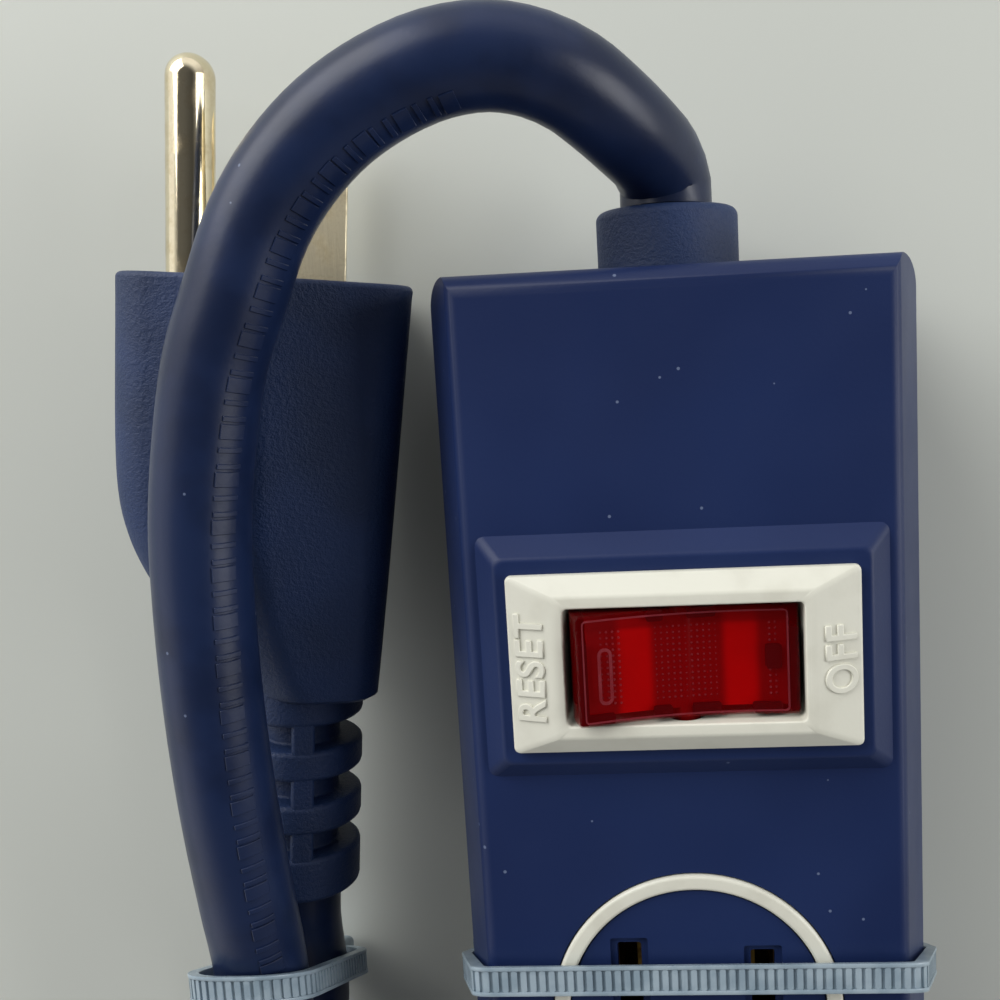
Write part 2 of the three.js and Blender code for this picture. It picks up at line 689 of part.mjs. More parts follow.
// A place given by X, by Y from the cord end of the housing, and by Z
const place = ([x, y, z]) => new THREE.Vector3(x, cordEnd + y, z);
const wireEnd = lipEnd - cordEnd - fitGap;
const busEnd = carrierRun[1] - cordEnd + fitGap;
const tabMiddle = (terminalFoot + switchFloor) / 2;
const tabNear = -switchDrop + terminalWidth / 2 + fitGap;
const tabFar = -switchDrop - terminalWidth / 2 - fitGap;
const busMiddle = busFoot + busThickness / 2;
const underSwitch = (floor + switchFloor) / 2;
const betweenTerminals = terminalSpread / 2;
const wireRoutes = {
  line: [[0, wireEnd, cordLevel + wireRise], [0, -12, cordLevel + wireRise / 2],
    [0, -20, underSwitch + wireRise], [0, -27, tabMiddle], [0, tabNear, tabMiddle]],
  load: [[terminalSpread, tabFar, tabMiddle], [terminalSpread, -43, tabMiddle], [busX, -50, busMiddle],
    [busX, -55, busMiddle], [busX, busEnd, busMiddle]],
  neutral: [[-wireSpread, wireEnd, cordLevel - wireDrop], [-wireSpread, -12, cordLevel - wireDrop],
    [-wireLane, -21, underSwitch], [-wireLane, -34, underSwitch], [-wireLane, -45, underSwitch],
    [-busX, -51, busMiddle], [-busX, -55, busMiddle], [-busX, busEnd, busMiddle]],
  ground: [[wireSpread, wireEnd, cordLevel - wireDrop], [wireSpread, -12, cordLevel - wireDrop],
    [betweenTerminals, -21, underSwitch], [betweenTerminals, -34, underSwitch],
    [betweenTerminals, -44, underSwitch], [0, -52, busMiddle], [0, -56, busMiddle], [0, busEnd, busMiddle]],
};
const { lineWire, neutralWire, groundWire } = finishes;
const wireFinishes = { line: lineWire, load: lineWire, neutral: neutralWire, ground: groundWire };
for (const [name, route] of Object.entries(wireRoutes)) {
  add(`${name}_wire`, tube(route.map(place), wireRadius, 8, 3 * route.length), wireFinishes[name]);
}

// Cord: out of the collar, up in an arch and down over the plug
const cordRadius = cordDiameter / 2;
const hankX = -61;
const hankBend = 23.4;
const hankWaist = 8;
const hankTop = -120;
const hankBottom = -234;
const hankLevel = 6.4;
const layerStep = cordDiameter + 0.6;
const hankLevels = [hankLevel, hankLevel + layerStep, hankLevel + 2 * layerStep];
const leadRoute = [
  [0, collarRim + fitGap, cordLevel], [0, 8.8, cordLevel], [-0.9, 11.1, 17.2], [-2.9, 12.9, 20.9],
  [-5.4, 14.9, 23.8], [-8, 16.7, 26], [-11.1, 18, 27.6], [-15, 18.6, 28.8], [-19.5, 18.1, 29.4],
  [-24.1, 16.5, 29.6], [-28.8, 13.8, 29.7], [-33, 10, 29.7], [-36.3, 5.5, 29.7], [-39.3, -1.1, 29.7],
  [-41.5, -6.4, 29.6], [-43.2, -13.3, 29.5], [-44.5, -21.3, 29.4], [-45, -29, 29.2], [-45.2, -38.9, 28.8],
  [-45.1, -49.1, 28], [-44.9, -59.5, 26.4], [-44.8, -67.2, 24.8], [-44.8, -76, 23.7], [-44.2, -85, 24.4],
  [-42.6, -92.5, 25.4], [-40, -98.5, 26], [-38.1, -103, 26.1], [hankX + hankBend, -107, hankLevels[2]],
  [hankX + hankBend, hankTop + cordDiameter + fitGap, hankLevels[2]],
];
add('cord_lead', tube(leadRoute.map(place), cordRadius, 10, 56), finishes.navyCord);

// The rest of the cord, in two long loops drawn in at the waist. Every climb is along a run.
const smooth = (share) => share * share * (3 - 2 * share);
const lerp = THREE.MathUtils.lerp;
const runSteps = 6;
const bendSteps = 6;
const halfWidthAt = (share) => hankBend - (hankBend - hankWaist) * (1 - Math.cos(2 * Math.PI * share)) / 2;

function hankRun(side, from, to, [startLevel, endLevel], steps, lastShare = 1) {
  return Array.from({ length: steps }, (_, i) => {
    const share = lastShare * (i + 1) / steps;
    const level = lerp(startLevel, endLevel, smooth(share));
    return [hankX + side * halfWidthAt(share), lerp(from, to, share), level];
  });
}
function hankTurn(centre, fromAngle, level) {
  return Array.from({ length: bendSteps }, (_, i) => {
    const angle = fromAngle - Math.PI * (i + 1) / bendSteps;
    return [hankX + hankBend * Math.cos(angle), centre + hankBend * Math.sin(angle), level];
  });
}
const tailShare = 0.55;
const [low, middle, high] = hankLevels;
const hankRoute = [
  [hankX + hankBend, hankTop + cordDiameter, high], [hankX + hankBend, hankTop, high],
  ...hankRun(1, hankTop, hankBottom, [high, middle], runSteps), ...hankTurn(hankBottom, 0, middle),
  ...hankRun(-1, hankBottom, hankTop, [middle, middle], runSteps), ...hankTurn(hankTop, Math.PI, middle),
  ...hankRun(1, hankTop, hankBottom, [middle, low], runSteps), ...hankTurn(hankBottom, 0, low),
  ...hankRun(-1, hankBottom, hankTop, [low, low], runSteps - 2, tailShare),
].map(place);

function hankTube(path, radius, sides) {
  const up = new THREE.Vector3(0, 0, 1);
  return loft(path.map((point, i) => {
    const before = path[Math.max(i - 1, 0)];
    const after = path[Math.min(i + 1, path.length - 1)];
    const ahead = after.clone().sub(before).normalize();
    const across = ahead.clone().cross(up).normalize();
    const over = across.clone().cross(ahead);
    return Array.from({ length: sides }, (_, k) => {
      const angle = 2 * Math.PI * (k + 0.5) / sides;
      const [out, rise] = [radius * Math.cos(angle), radius * Math.sin(angle)];
      return point.clone().addScaledVector(across, out).addScaledVector(over, rise);
    });
  }));
}
add('cord_hank', hankTube(hankRoute, cordRadius, 6), finishes.navyCord);

// The least gap of the looped cord to itself, between stretches that lie apart along it
const hankCurve = new THREE.CatmullRomCurve3(hankRoute, false, 'centripetal');
const sampleCount = 600;
const hankSamples = hankCurve.getSpacedPoints(sampleCount);
const hankLength = hankCurve.getLength();
const apart = Math.ceil(3 * cordDiameter / (hankLength / sampleCount));
let leastGap = Infinity;
for (let i = 0; i < hankSamples.length; i += 1) {
  for (let j = i + apart; j < hankSamples.length; j += 1) {
    leastGap = Math.min(leastGap, hankSamples[i].distanceTo(hankSamples[j]) - cordDiameter);
  }
}

// The plug lies on its side beside the housing, rolled with the ground pin up
const plugGroup = new THREE.Group();
plugGroup.position.copy(place(plugPlace));
plugGroup.rotation.set(0, THREE.MathUtils.degToRad(plugRoll), THREE.MathUtils.degToRad(plugYaw), 'ZXY');
strip.add(plugGroup);

// A cross-section of the plug: broad round the blades, and a lobe round the ground pin
function plugSection(right, left, half, lobe, shoulder, y) {
  const corner = half / 3;
  const lobeX = left + lobe;
  const outline = [];
  const steps = 3;
  for (const side of [1, -1]) {
    if (side < 0) outline.push([-shoulder, -half]);
    for (let i = 0; i <= steps; i += 1) {
      const angle = side * (side > 0 ? i : steps - i) / steps * Math.PI / 2;
      const level = side * (half - corner) + corner * Math.sin(angle);
      outline.push([right - corner + corner * Math.cos(angle), level]);
    }
    if (side > 0) {
      outline.push([-shoulder, half]);
      for (let i = 1; i <= 2 * steps; i += 1) {
        const angle = Math.PI / 2 + Math.PI * i / (2 * steps + 1);
        outline.push([lobeX + lobe * Math.cos(angle), lobe * Math.sin(angle)]);
      }
    }
  }
  return outline.map(([x, z]) => new THREE.Vector3(x, y, z));
}

// Shares of the plug's length, of its lobe and of its thickness
const plugShares = [[0, 1, 1], [0.5, 1, 0.96], [0.61, 0.95, 0.94], [0.71, 0.85, 0.92], [0.81, 0.69, 0.88],
  [0.91, 0.49, 0.84], [1, 0.3, 0.78]];
const narrowLobeShare = 0.3;
function plugStation([lengthShare, lobeShare, thickShare], inset = 0) {
  const half = plugHalfThickness * thickShare - inset;
  const left = -plugLobe * lobeShare + inset;
  const lobe = plugLobeRadius * Math.min(thickShare, lobeShare + narrowLobeShare) - inset;
  return plugSection(plugRight - plugTaper * lengthShare - inset, left, half, lobe,
    plugShoulder * lobeShare, -plugLength * lengthShare);
}

function insetBlock(inset, [y0, y1]) {
  const outline = plugStation(plugShares[0], inset);
  return loft([y1, y0].map((y) => outline.map((p) => new THREE.Vector3(p.x, y, p.z))));
}

function plugBody() {
  const body = loft(plugShares.map((share) => plugStation(share)));
  const axis = -reliefOffset;
  const ribLengths = [reliefCollar, reliefRib, reliefRib, reliefEnd];
  const inBody = -plugLength + wall;
  let y = -plugLength;
  const ribs = ribLengths.map((length, i) => {
    const rib = bar(axis, 0, reliefRadius, [y - length, i ? y : inBody], 16);
    y -= length + (i < ribLengths.length - 1 ? reliefSlot : 0);
    return rib;
  });
  const core = bar(axis, 0, reliefCoreRadius, [y, inBody], 12);
  const spine = slab(about(axis, reliefSpine), [y, inBody], about(0, 2 * reliefRadius - 2 * fitGap));
  const pocket = insetBlock(plugPocketWall, [-plugPocketDepth, cutOverrun]);
  return [cut(joined(body, core, spine, ...ribs), pocket), y];
}
const [plugSolid, reliefTip] = plugBody();
add('plug_body', plugSolid, finishes.navyCord, plugGroup);

const bladeZ = [['line_blade', -slotSpacing / 2], ['neutral_blade', slotSpacing / 2]];
const sunk = -plugCoreSink;
function plugCore() {
  const block = insetBlock(plugPocketWall + fitGap, [-plugPocketDepth + fitGap, 0]);
  const through = [sunk - fitGap, cutOverrun];
  const passages = bladeZ.map(([, z]) =>
    slab(about(0, bladeWidth + 2 * fitGap), through, about(z, bladeThickness + 2 * fitGap)));
  return cut(block, ...passages, bar(-groundDrop, 0, groundPinRadius + fitGap, through, 16));
}
add('plug_core', plugCore(), finishes.navyCord, plugGroup);

// A blade has a bevelled tip and a hole near it
function plugBlade(z) {
  const half = bladeThickness / 2;
  const bevel = half / 2;
  const slant = bladeLength - bladeThickness;
  const side = [[sunk, z - half], [slant, z - half], [bladeLength, z - bevel], [bladeLength, z + bevel],
    [slant, z + half], [sunk, z + half]];
  const hole = post(0, slant - bladeWidth / 2, bladeThickness, about(z, 2 * bladeThickness), 12);
  return cut(runAlongX(side, about(0, bladeWidth)), hole);
}
for (const [name, z] of bladeZ) add(name, plugBlade(z), finishes.nickel, plugGroup);

function groundPin() {
  const steps = 4;
  const shoulder = groundPinLength - groundPinRadius;
  const dome = Array.from({ length: steps + 1 }, (_, i) => {
    const angle = i / steps * Math.PI / 2;
    return [groundPinRadius * Math.cos(angle), shoulder + groundPinRadius * Math.sin(angle)];
  });
  dome[steps][0] = 0;
  const body = turned([[0, sunk], [groundPinRadius, sunk], ...dome], 16);
  return solid(geometryOf(body).translate(-groundDrop, 0, 0));
}
add('ground_pin', groundPin(), finishes.nickel, plugGroup);

// The stretch from the loops to the plug
plugGroup.updateMatrixWorld(true);
function reliefExit(beyond) {
  return plugGroup.localToWorld(new THREE.Vector3(-reliefOffset, reliefTip - beyond, 0));
}
const hankEnd = hankRoute.at(-1);
const hankAhead = hankEnd.clone().sub(hankRoute.at(-2)).normalize();
const beyondHank = (distance) => hankEnd.clone().addScaledVector(hankAhead, distance);
const tailPlaces = [
  [-67.6, -151, hankLevel], [-64.9, -140, hankLevel], [-61.3, -128.5, hankLevel], [-57.2, -117, hankLevel],
  [-53, -106, 6.5], [-49.5, -96, 6.8], [-46.9, -87, 8.3], [-45.4, -79, 10.4],
];
const tailRoute = [
  beyondHank(fitGap), beyondHank(cordDiameter), ...tailPlaces.map(place),
  reliefExit(cordDiameter / 2), reliefExit(fitGap),
];
add('cord_tail', tube(tailRoute, cordRadius, 10, 22), finishes.navyCord);

// Ties: a closed strap with a locking head, round an outline that grows by the strap's thickness
function strap(outline, y, headAcross, headLevels) {
  const [y0, y1] = about(cordEnd + y, tieWidth);
  const [inner, outer] = [outline(0), outline(tieThickness)];
  const band = cut(runAlongY(outer, [y0, y1]), runAlongY(inner, [y0 - cutOverrun, y1 + cutOverrun]));
  const head = slab(headAcross, about(cordEnd + y, tieHeadWidth), headLevels);
  return cut(joined(band, head), runAlongY(inner, [y0 - tieHeadWidth, y1 + tieHeadWidth]));
}
const loopOutline = ([x0, x1], [z0, z1], radius) => (grow) =>
  roundedRectangle([x0 - grow, x1 + grow], [z0 - grow, z1 + grow], radius + grow);

// A strap that sits askew: below its front stretch it leans towards the outlets
function askew(body, front) {
  const lean = new THREE.Matrix4().makeShear(0, 0, 0, 0, 0, Math.tan(THREE.MathUtils.degToRad(tieLean)));
  return solid(geometryOf(body).translate(0, 0, -front).applyMatrix4(lean).translate(0, 0, front));
}

// The head of the cord's tie hangs below the cords, and the two others sit on the left
const cordTieY = -68;
const cordTieX = [-50.7, -39.9];
const cordTieZ = [4.8, 29.8];
const cordStrap = strap(loopOutline(cordTieX, cordTieZ, cordRadius), cordTieY,
  about((cordTieX[0] + cordTieX[1]) / 2, tieHeadLength), [cordTieZ[0] - tieHeadThickness, cordTieZ[0]]);
add('cord_tie', askew(cordStrap, cordTieZ[1]), finishes.tie);

const hankTieY = (hankTop + hankBottom) / 2;
const hankTieX = about(hankX, 2 * (hankWaist + cordRadius + fitGap));
const hankTieZ = [tieThickness + fitGap / 2, (middle + high) / 2 + cordRadius + fitGap];
add('hank_tie', strap(loopOutline(hankTieX, hankTieZ, fitGap), hankTieY,
  [hankTieX[0] - tieHeadThickness, hankTieX[0]], about(low + cordRadius, tieHeadLength)), finishes.tie);

const housingTieY = -67.05;
function aroundHousing(grow) {
  const out = fitGap + grow;
  const [face, waist, back] = [faceWidth / 2 + out, waistWidth / 2 + out, backWidth / 2 + out];
  const [top, foot] = [stripHeight + ringProud + out, footHeight - out];
  const seam = seamTop - seamGap / 2;
  const bevel = out / 2;
  return [[waist, seam], [face, top - bevel], [face - bevel, top], [-face + bevel, top], [-face, top - bevel],
    [-waist, seam], [-back, foot + bevel], [-back + bevel, foot], [back - bevel, foot], [back, foot + bevel]];
}
const housingStrap = strap(aroundHousing, housingTieY,
  [-backWidth / 2 - fitGap - tieHeadThickness, -backWidth / 2], about(stripHeight / 4, tieHeadLength));
add('housing_tie', askew(housingStrap, stripHeight), finishes.tie);

const routeLength = (route) => new THREE.CatmullRomCurve3(route, false, 'centripetal').getLength();
const cordLength = routeLength(leadRoute.map(place)) + hankLength + routeLength(tailRoute);
console.log(`cord length ${cordLength.toFixed(1)}, least gap of the loops ${leastGap.toFixed(2)}`);

export default strip;
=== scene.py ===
# %% [markdown]
# # A power strip with its cord
#
# The strip is two plastic shells with a lighted rocker switch and six outlets. Its cord is tied up as it
# is sold, and its plug lies beside the housing. The inner parts, such as the contact strips, come with the
# frame and only get a finish. What shows is modelled again here, with fine curves and rounded edges.
# All lengths are in metres, in the frame's own axes: X across, Y along towards the cord, Z up.

# %% Load the frame
import json
import math

import bmesh
import bpy
from mathutils import Matrix, Vector


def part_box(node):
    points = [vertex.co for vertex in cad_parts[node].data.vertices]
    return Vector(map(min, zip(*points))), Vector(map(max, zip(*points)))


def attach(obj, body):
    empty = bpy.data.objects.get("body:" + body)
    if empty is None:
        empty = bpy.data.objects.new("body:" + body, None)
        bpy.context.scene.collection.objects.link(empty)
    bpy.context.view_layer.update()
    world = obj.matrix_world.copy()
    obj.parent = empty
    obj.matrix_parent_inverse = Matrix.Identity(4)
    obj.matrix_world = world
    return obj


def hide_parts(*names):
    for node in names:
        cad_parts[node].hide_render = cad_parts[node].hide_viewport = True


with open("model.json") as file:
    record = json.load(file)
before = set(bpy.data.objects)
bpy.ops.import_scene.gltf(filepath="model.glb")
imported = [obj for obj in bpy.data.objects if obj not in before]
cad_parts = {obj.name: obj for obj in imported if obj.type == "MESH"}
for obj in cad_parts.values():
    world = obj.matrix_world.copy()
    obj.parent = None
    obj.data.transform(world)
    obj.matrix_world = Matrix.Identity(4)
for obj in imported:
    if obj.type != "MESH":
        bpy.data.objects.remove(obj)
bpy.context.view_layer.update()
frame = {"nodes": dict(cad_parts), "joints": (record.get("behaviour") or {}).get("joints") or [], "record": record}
MM = 0.001

# %% [markdown]
# ## The camera
#
# The camera stands where the photograph was taken from: about 10 cm above the face, nearly straight
# down. It could be placed by eye, but its place and turn were worked out from the housing's
# edges, so that everything else can be compared with the photograph. The focal length is in pixels of the
# square picture, and Blender wants it in millimetres of the sensor.

# %% Camera
PICTURE = 1000
FOCAL = 1100
VIEW_CENTRE = 600
CAMERA_PLACE = Vector((-0.1, 132.3, 128.4)) * MM
CAMERA_TURN = Vector((7.6, -3.83, 2.55)) * math.radians(1)


def add_object(name, data):
    piece = bpy.data.objects.new(name, data)
    bpy.context.scene.collection.objects.link(piece)
    return piece


camera_data = bpy.data.cameras.new("camera")
camera_data.lens = FOCAL / PICTURE * camera_data.sensor_width
camera_data.shift_x = (PICTURE / 2 - VIEW_CENTRE) / PICTURE
camera_data.clip_start = MM
camera = add_object("camera", camera_data)
to_camera = Matrix.Rotation(CAMERA_TURN.length, 3, CAMERA_TURN.normalized())
camera.matrix_world = Matrix.Translation(CAMERA_PLACE) @ to_camera.transposed().to_4x4()
bpy.context.scene.camera = camera
print("lens", round(camera_data.lens, 1), "mm")

# %% [markdown]
# ## Meshes
#
# Most pieces are made of rings of points: a skin over a row of rings is a loft. A few helpers make the
# rings. One rounds the corners of an outline, because nothing moulded has a sharp corner, and one makes
# the skin. A settled object is one whose modifiers have become plain mesh.


# %% Outlines
def rounded(corners, steps=5, closed=True):
    """Points of an outline whose corners, each (x, y, radius), are rounded."""
    points = []
    last = len(corners) - 1
    for i, (x, y, radius) in enumerate(corners):
        corner = Vector((x, y))
        if not radius or (not closed and i in (0, last)):
            points.append(corner)
            continue
        back = (Vector(corners[i - 1][:2]) - corner).normalized()
        ahead = (Vector(corners[(i + 1) % len(corners)][:2]) - corner).normalized()
        half = back.angle(ahead) / 2
        centre = corner + (back + ahead).normalized() * radius / math.sin(half)
        first = corner + back * radius / math.tan(half) - centre
        turn = math.pi - 2 * half
        side = math.copysign(1, back.x * ahead.y - back.y * ahead.x)
        for k in range(steps + 1):
            points.append(centre + Matrix.Rotation(-side * turn * k / steps, 2) @ first)
    return points


def rectangle(width, depth, radius, steps=5, centre=(0, 0)):
    x, y = width / 2, depth / 2
    corners = [(x, -y, radius), (x, y, radius), (-x, y, radius), (-x, -y, radius)]
    return [p + Vector(centre) for p in rounded(corners, steps)]


def arc(radius, start, stop, steps, centre=(0, 0)):
    """Points on a round stretch between two angles in degrees, both of them included."""
    angles = [math.radians(start + (stop - start) * i / steps) for i in range(steps + 1)]
    return [Vector(centre) + radius * Vector((math.cos(a), math.sin(a))) for a in angles]


def disc(radius, centre=(0, 0), steps=32):
    """Points all the way round a circle."""
    return arc(radius, 0, 360, steps, centre)[1:]


def at_level(outline, level):
    return [Vector((p.x, p.y, level)) for p in outline]


# %% [markdown]
# ## Solids from outlines
#
# An outline becomes a solid in three ways: run along an axis, turned about one, or stacked in other
# sizes. Blender's own primitives would be quicker for the simplest ones, but then every size would have to
# be read back from a scale. The faces are turned outwards at the end, whichever way the outline went round.


# %% Solids
def outwards(piece):
    """Merges doubled points and turns the faces outwards."""
    work = bmesh.new()
    work.from_mesh(piece.data)
    bmesh.ops.remove_doubles(work, verts=work.verts, dist=MM / 1000)
    bmesh.ops.recalc_face_normals(work, faces=work.faces)
    work.to_mesh(piece.data)
    work.free()
    return piece


def new_piece(name, vertices, faces, matrix=None):
    mesh = bpy.data.meshes.new(name)
    mesh.from_pydata([tuple(v) for v in vertices], [], faces)
    if matrix is not None:
        mesh.transform(matrix)
    return outwards(add_object(name, mesh))


def skin(rings, around=False):
    """Vertices and faces of a skin over rings of points, capped, or joined round to the first ring."""
    count = len(rings[0])
    vertices = [p for ring in rings for p in ring]
    faces = []
    for r in range(len(rings) if around else len(rings) - 1):
        low, high = r * count, (r + 1) % len(rings) * count
        for i in range(count):
            j = (i + 1) % count
            faces.append((low + i, low + j, high + j, high + i))
    if not around:
        faces.append(tuple(reversed(range(count))))
        faces.append(tuple(range(len(vertices) - count, len(vertices))))
    return vertices, faces


AXES = {"X": (1, 2, 0), "Y": (0, 2, 1), "Z": (0, 1, 2)}


def prism(name, outline, axis, low, high):
    """An outline run along an axis. The outline's pairs are the two other axes, in order."""
    first, second, along = AXES[axis]
    rings = []
    for level in (low, high):
        ring = []
        for p in outline:
            v = Vector((0, 0, 0))
            v[first], v[second], v[along] = p[0], p[1], level
            ring.append(v)
        rings.append(ring)
    return new_piece(name, *skin(rings))


def turned(name, profile, steps=64, axis="Z", centre=(0, 0, 0)):
    """A profile of (radius, height) pairs turned about an axis. A solid's starts and ends on the axis."""
    count = len(profile)
    rings = []
    for i in range(steps):
        a = 2 * math.pi * i / steps
        rings.append([Vector((r * math.cos(a), r * math.sin(a), h)) for r, h in profile])
    vertices, faces = skin(rings, around=True)
    if profile[0][0] == 0:
        faces = [f for f in faces if {f[0] % count, f[1] % count} != {0, count - 1}]
    turn = Matrix() if axis == "Z" else Matrix.Rotation(-math.pi / 2, 4, "X")
    return new_piece(name, vertices, faces, Matrix.Translation(centre) @ turn)


def rod(name, radius, low, high, steps=32, axis="Z", centre=(0, 0, 0)):
    return turned(name, [(0, low), (radius, low), (radius, high), (0, high)], steps, axis, centre)


def stacked(name, profile, radius, centre, around=False):
    """Rounded rectangles over each other: the profile gives each one's width, depth and level."""
    rings = [at_level(rectangle(width, depth, radius, 4, centre), level) for width, depth, level in profile]
    return new_piece(name, *skin(rings, around))


# %% [markdown]
# ## Joining and softening
#
# A boolean cuts one solid by another or joins two, and the exact solver does it cleanly. A bevel then takes
# the sharpness off an edge, as a mould does. Weighted normals keep the flats flat beside it, which a plain
# smooth shading wouldn't.


# %% Modifiers
def settle(piece):
    """Turns an object's modifiers into plain mesh."""
    depsgraph = bpy.context.evaluated_depsgraph_get()
    mesh = bpy.data.meshes.new_from_object(piece.evaluated_get(depsgraph))
    piece.modifiers.clear()
    piece.data = mesh
    return piece


def combine(base, tool, operation):
    """A boolean of two objects, which uses up the second one."""
    modifier = base.modifiers.new("combine", "BOOLEAN")
    modifier.solver = "EXACT"
    modifier.operation = operation
    modifier.object = tool
    settle(base)
    bpy.data.objects.remove(tool)
    return base


def cut(base, tool):
    return combine(base, tool, "DIFFERENCE")


def join(base, tool):
    return combine(base, tool, "UNION")


def merge(name, pieces):
    """One object from several."""
    work = bmesh.new()
    for piece in pieces:
        work.from_mesh(piece.data)
        bpy.data.objects.remove(piece)
    mesh = bpy.data.meshes.new(name)
    work.to_mesh(mesh)
    work.free()
    return add_object(name, mesh)


SHARP = math.radians(34)


def soften(piece, width=0, segments=3):
    """Rounds the edges where width is given, and shades the curves smooth and the flats flat."""
    if width:
        bevel = piece.modifiers.new("bevel", "BEVEL")
        bevel.width = width
        bevel.segments = segments
        bevel.limit_method = "ANGLE"
        bevel.angle_limit = SHARP
        bevel.use_clamp_overlap = True
        settle(piece)
    piece.data.shade_smooth()
    piece.data.set_sharp_from_angle(angle=SHARP)
    weighted = piece.modifiers.new("weighted", "WEIGHTED_NORMAL")
    weighted.keep_sharp = True
    weighted.weight = 60
    return settle(piece)


# %% [markdown]
# ## The cord's way
#
# The cord leaves the collar, arches to the left over the plug, runs down beside the housing, and lies in
# two long loops before it comes back to the plug. Its line could be drawn by hand in the viewport, but a
# list of places can be checked against the real length. The loops come from a formula.

# %% Route
CORD_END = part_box("top_shell")[1].y
CORD_DIAMETER = 9.2 * MM
CORD_RADIUS = CORD_DIAMETER / 2

LEAD_ROUTE = [
    (0, 0.0066, 0.015), (0, 0.0088, 0.015), (-0.0009, 0.0111, 0.0172), (-0.0029, 0.0129, 0.0209),
    (-0.0054, 0.0149, 0.0238), (-0.008, 0.0167, 0.026), (-0.0111, 0.018, 0.0276), (-0.015, 0.0186, 0.0288),
    (-0.0195, 0.0181, 0.0294), (-0.0241, 0.0165, 0.0296), (-0.0288, 0.0138, 0.0297), (-0.033, 0.01, 0.0297),
    (-0.0363, 0.0055, 0.0297), (-0.0393, -0.0011, 0.0297), (-0.0415, -0.0064, 0.0296),
    (-0.0432, -0.0133, 0.0295), (-0.0445, -0.0213, 0.0294), (-0.045, -0.029, 0.0292),
    (-0.0452, -0.0389, 0.0288), (-0.0451, -0.0491, 0.028), (-0.0449, -0.0595, 0.0264),
    (-0.0448, -0.0672, 0.0248), (-0.0448, -0.076, 0.0237), (-0.0442, -0.085, 0.0244),
    (-0.0426, -0.0925, 0.0254), (-0.04, -0.0985, 0.026), (-0.0381, -0.103, 0.0261), (-0.0376, -0.107, 0.026),
]
HANK_X = -0.061
HANK_BEND = 0.0234
HANK_WAIST = 0.008
HANK_TOP = -0.12
HANK_BOTTOM = -0.234
HANK_LEVELS = (0.026, 0.0162, 0.0064)
TAIL_SHARE = 0.55
TAIL_ROUTE = [
    (-0.0676, -0.151, 0.0064), (-0.0649, -0.14, 0.0064), (-0.0613, -0.1285, 0.0064),
    (-0.0572, -0.117, 0.0064), (-0.053, -0.106, 0.0065), (-0.0495, -0.096, 0.0068),
    (-0.0469, -0.087, 0.0083), (-0.0454, -0.079, 0.0104),
]


def hank_width(share):
    """How far a run of the hank is from its middle line: drawn in halfway, where the tie is."""
    return HANK_BEND - (HANK_BEND - HANK_WAIST) * (1 - math.cos(2 * math.pi * share)) / 2


def hank_run(side, start, stop, levels, steps=8, share_end=1):
    places = []
    for i in range(1, steps + 1):
        share = share_end * i / steps
        climb = share * share * (3 - 2 * share)
        level = levels[0] + (levels[1] - levels[0]) * climb
        places.append((HANK_X + side * hank_width(share), start + (stop - start) * share, level))
    return places


def hank_turn(centre, from_angle, level, steps=12):
    angles = [from_angle - math.pi * i / steps for i in range(1, steps + 1)]
    return [(HANK_X + HANK_BEND * math.cos(a), centre + HANK_BEND * math.sin(a), level) for a in angles]


def hank_route():
    high, middle, low = HANK_LEVELS
    return [
        (HANK_X + HANK_BEND, HANK_TOP, high),
        *hank_run(1, HANK_TOP, HANK_BOTTOM, (high, middle)), *hank_turn(HANK_BOTTOM, 0, middle),
        *hank_run(-1, HANK_BOTTOM, HANK_TOP, (middle, middle)), *hank_turn(HANK_TOP, math.pi, middle),
        *hank_run(1, HANK_TOP, HANK_BOTTOM, (middle, low)), *hank_turn(HANK_BOTTOM, 0, low),
        *hank_run(-1, HANK_BOTTOM, HANK_TOP, (low, low), 5, TAIL_SHARE),
    ]


# %% [markdown]
# ## A smooth path
#
# Between the places runs a centripetal Catmull-Rom curve. A Bezier curve could be bent by its handles, but
# this one passes through each place and doesn't overshoot where they lie unevenly. Its last two places
# are in the plug's strain relief, so the plug's place and the relief's ribs are set here too.

# %% Path
PLUG_PLACE = Vector((-37.5, 1.2, 12.9)) * MM + Vector((0, CORD_END, 0))
PLUG_YAW = math.radians(-5.6)
PLUG_ROLL = math.radians(20)
PLUG_LENGTH = 43 * MM
RELIEF_OFFSET = -0.4 * MM
RELIEF_SLOT = 2.7 * MM
RELIEF_RIBS = (3.4 * MM, 3.3 * MM, 3.3 * MM, 5 * MM)
PATH_SPACING = 1.5 * MM
plug_turn = Matrix.Rotation(PLUG_YAW, 4, "Z") @ Matrix.Rotation(PLUG_ROLL, 4, "Y")
plug_matrix = Matrix.Translation(PLUG_PLACE) @ plug_turn
relief_tip = -PLUG_LENGTH - sum(RELIEF_RIBS) - (len(RELIEF_RIBS) - 1) * RELIEF_SLOT


def smooth_path(points, spacing):
    """Points a spacing apart on the centripetal Catmull-Rom curve through the given points."""
    ends = [2 * points[0] - points[1], *points, 2 * points[-1] - points[-2]]
    path = [points[0]]
    for p0, p1, p2, p3 in zip(ends, ends[1:], ends[2:], ends[3:]):
        t1 = (p1 - p0).length ** 0.5
        t2 = t1 + (p2 - p1).length ** 0.5
        t3 = t2 + (p3 - p2).length ** 0.5
        count = max(1, round((p2 - p1).length / spacing))
        for i in range(1, count + 1):
            t = t1 + (t2 - t1) * i / count
            a1 = p0.lerp(p1, t / t1)
            a2 = p1.lerp(p2, (t - t1) / (t2 - t1))
            a3 = p2.lerp(p3, (t - t2) / (t3 - t2))
            b1 = a1.lerp(a2, t / t2)
            b2 = a2.lerp(a3, (t - t1) / (t3 - t1))
            path.append(b1.lerp(b2, (t - t1) / (t2 - t1)))
    return path


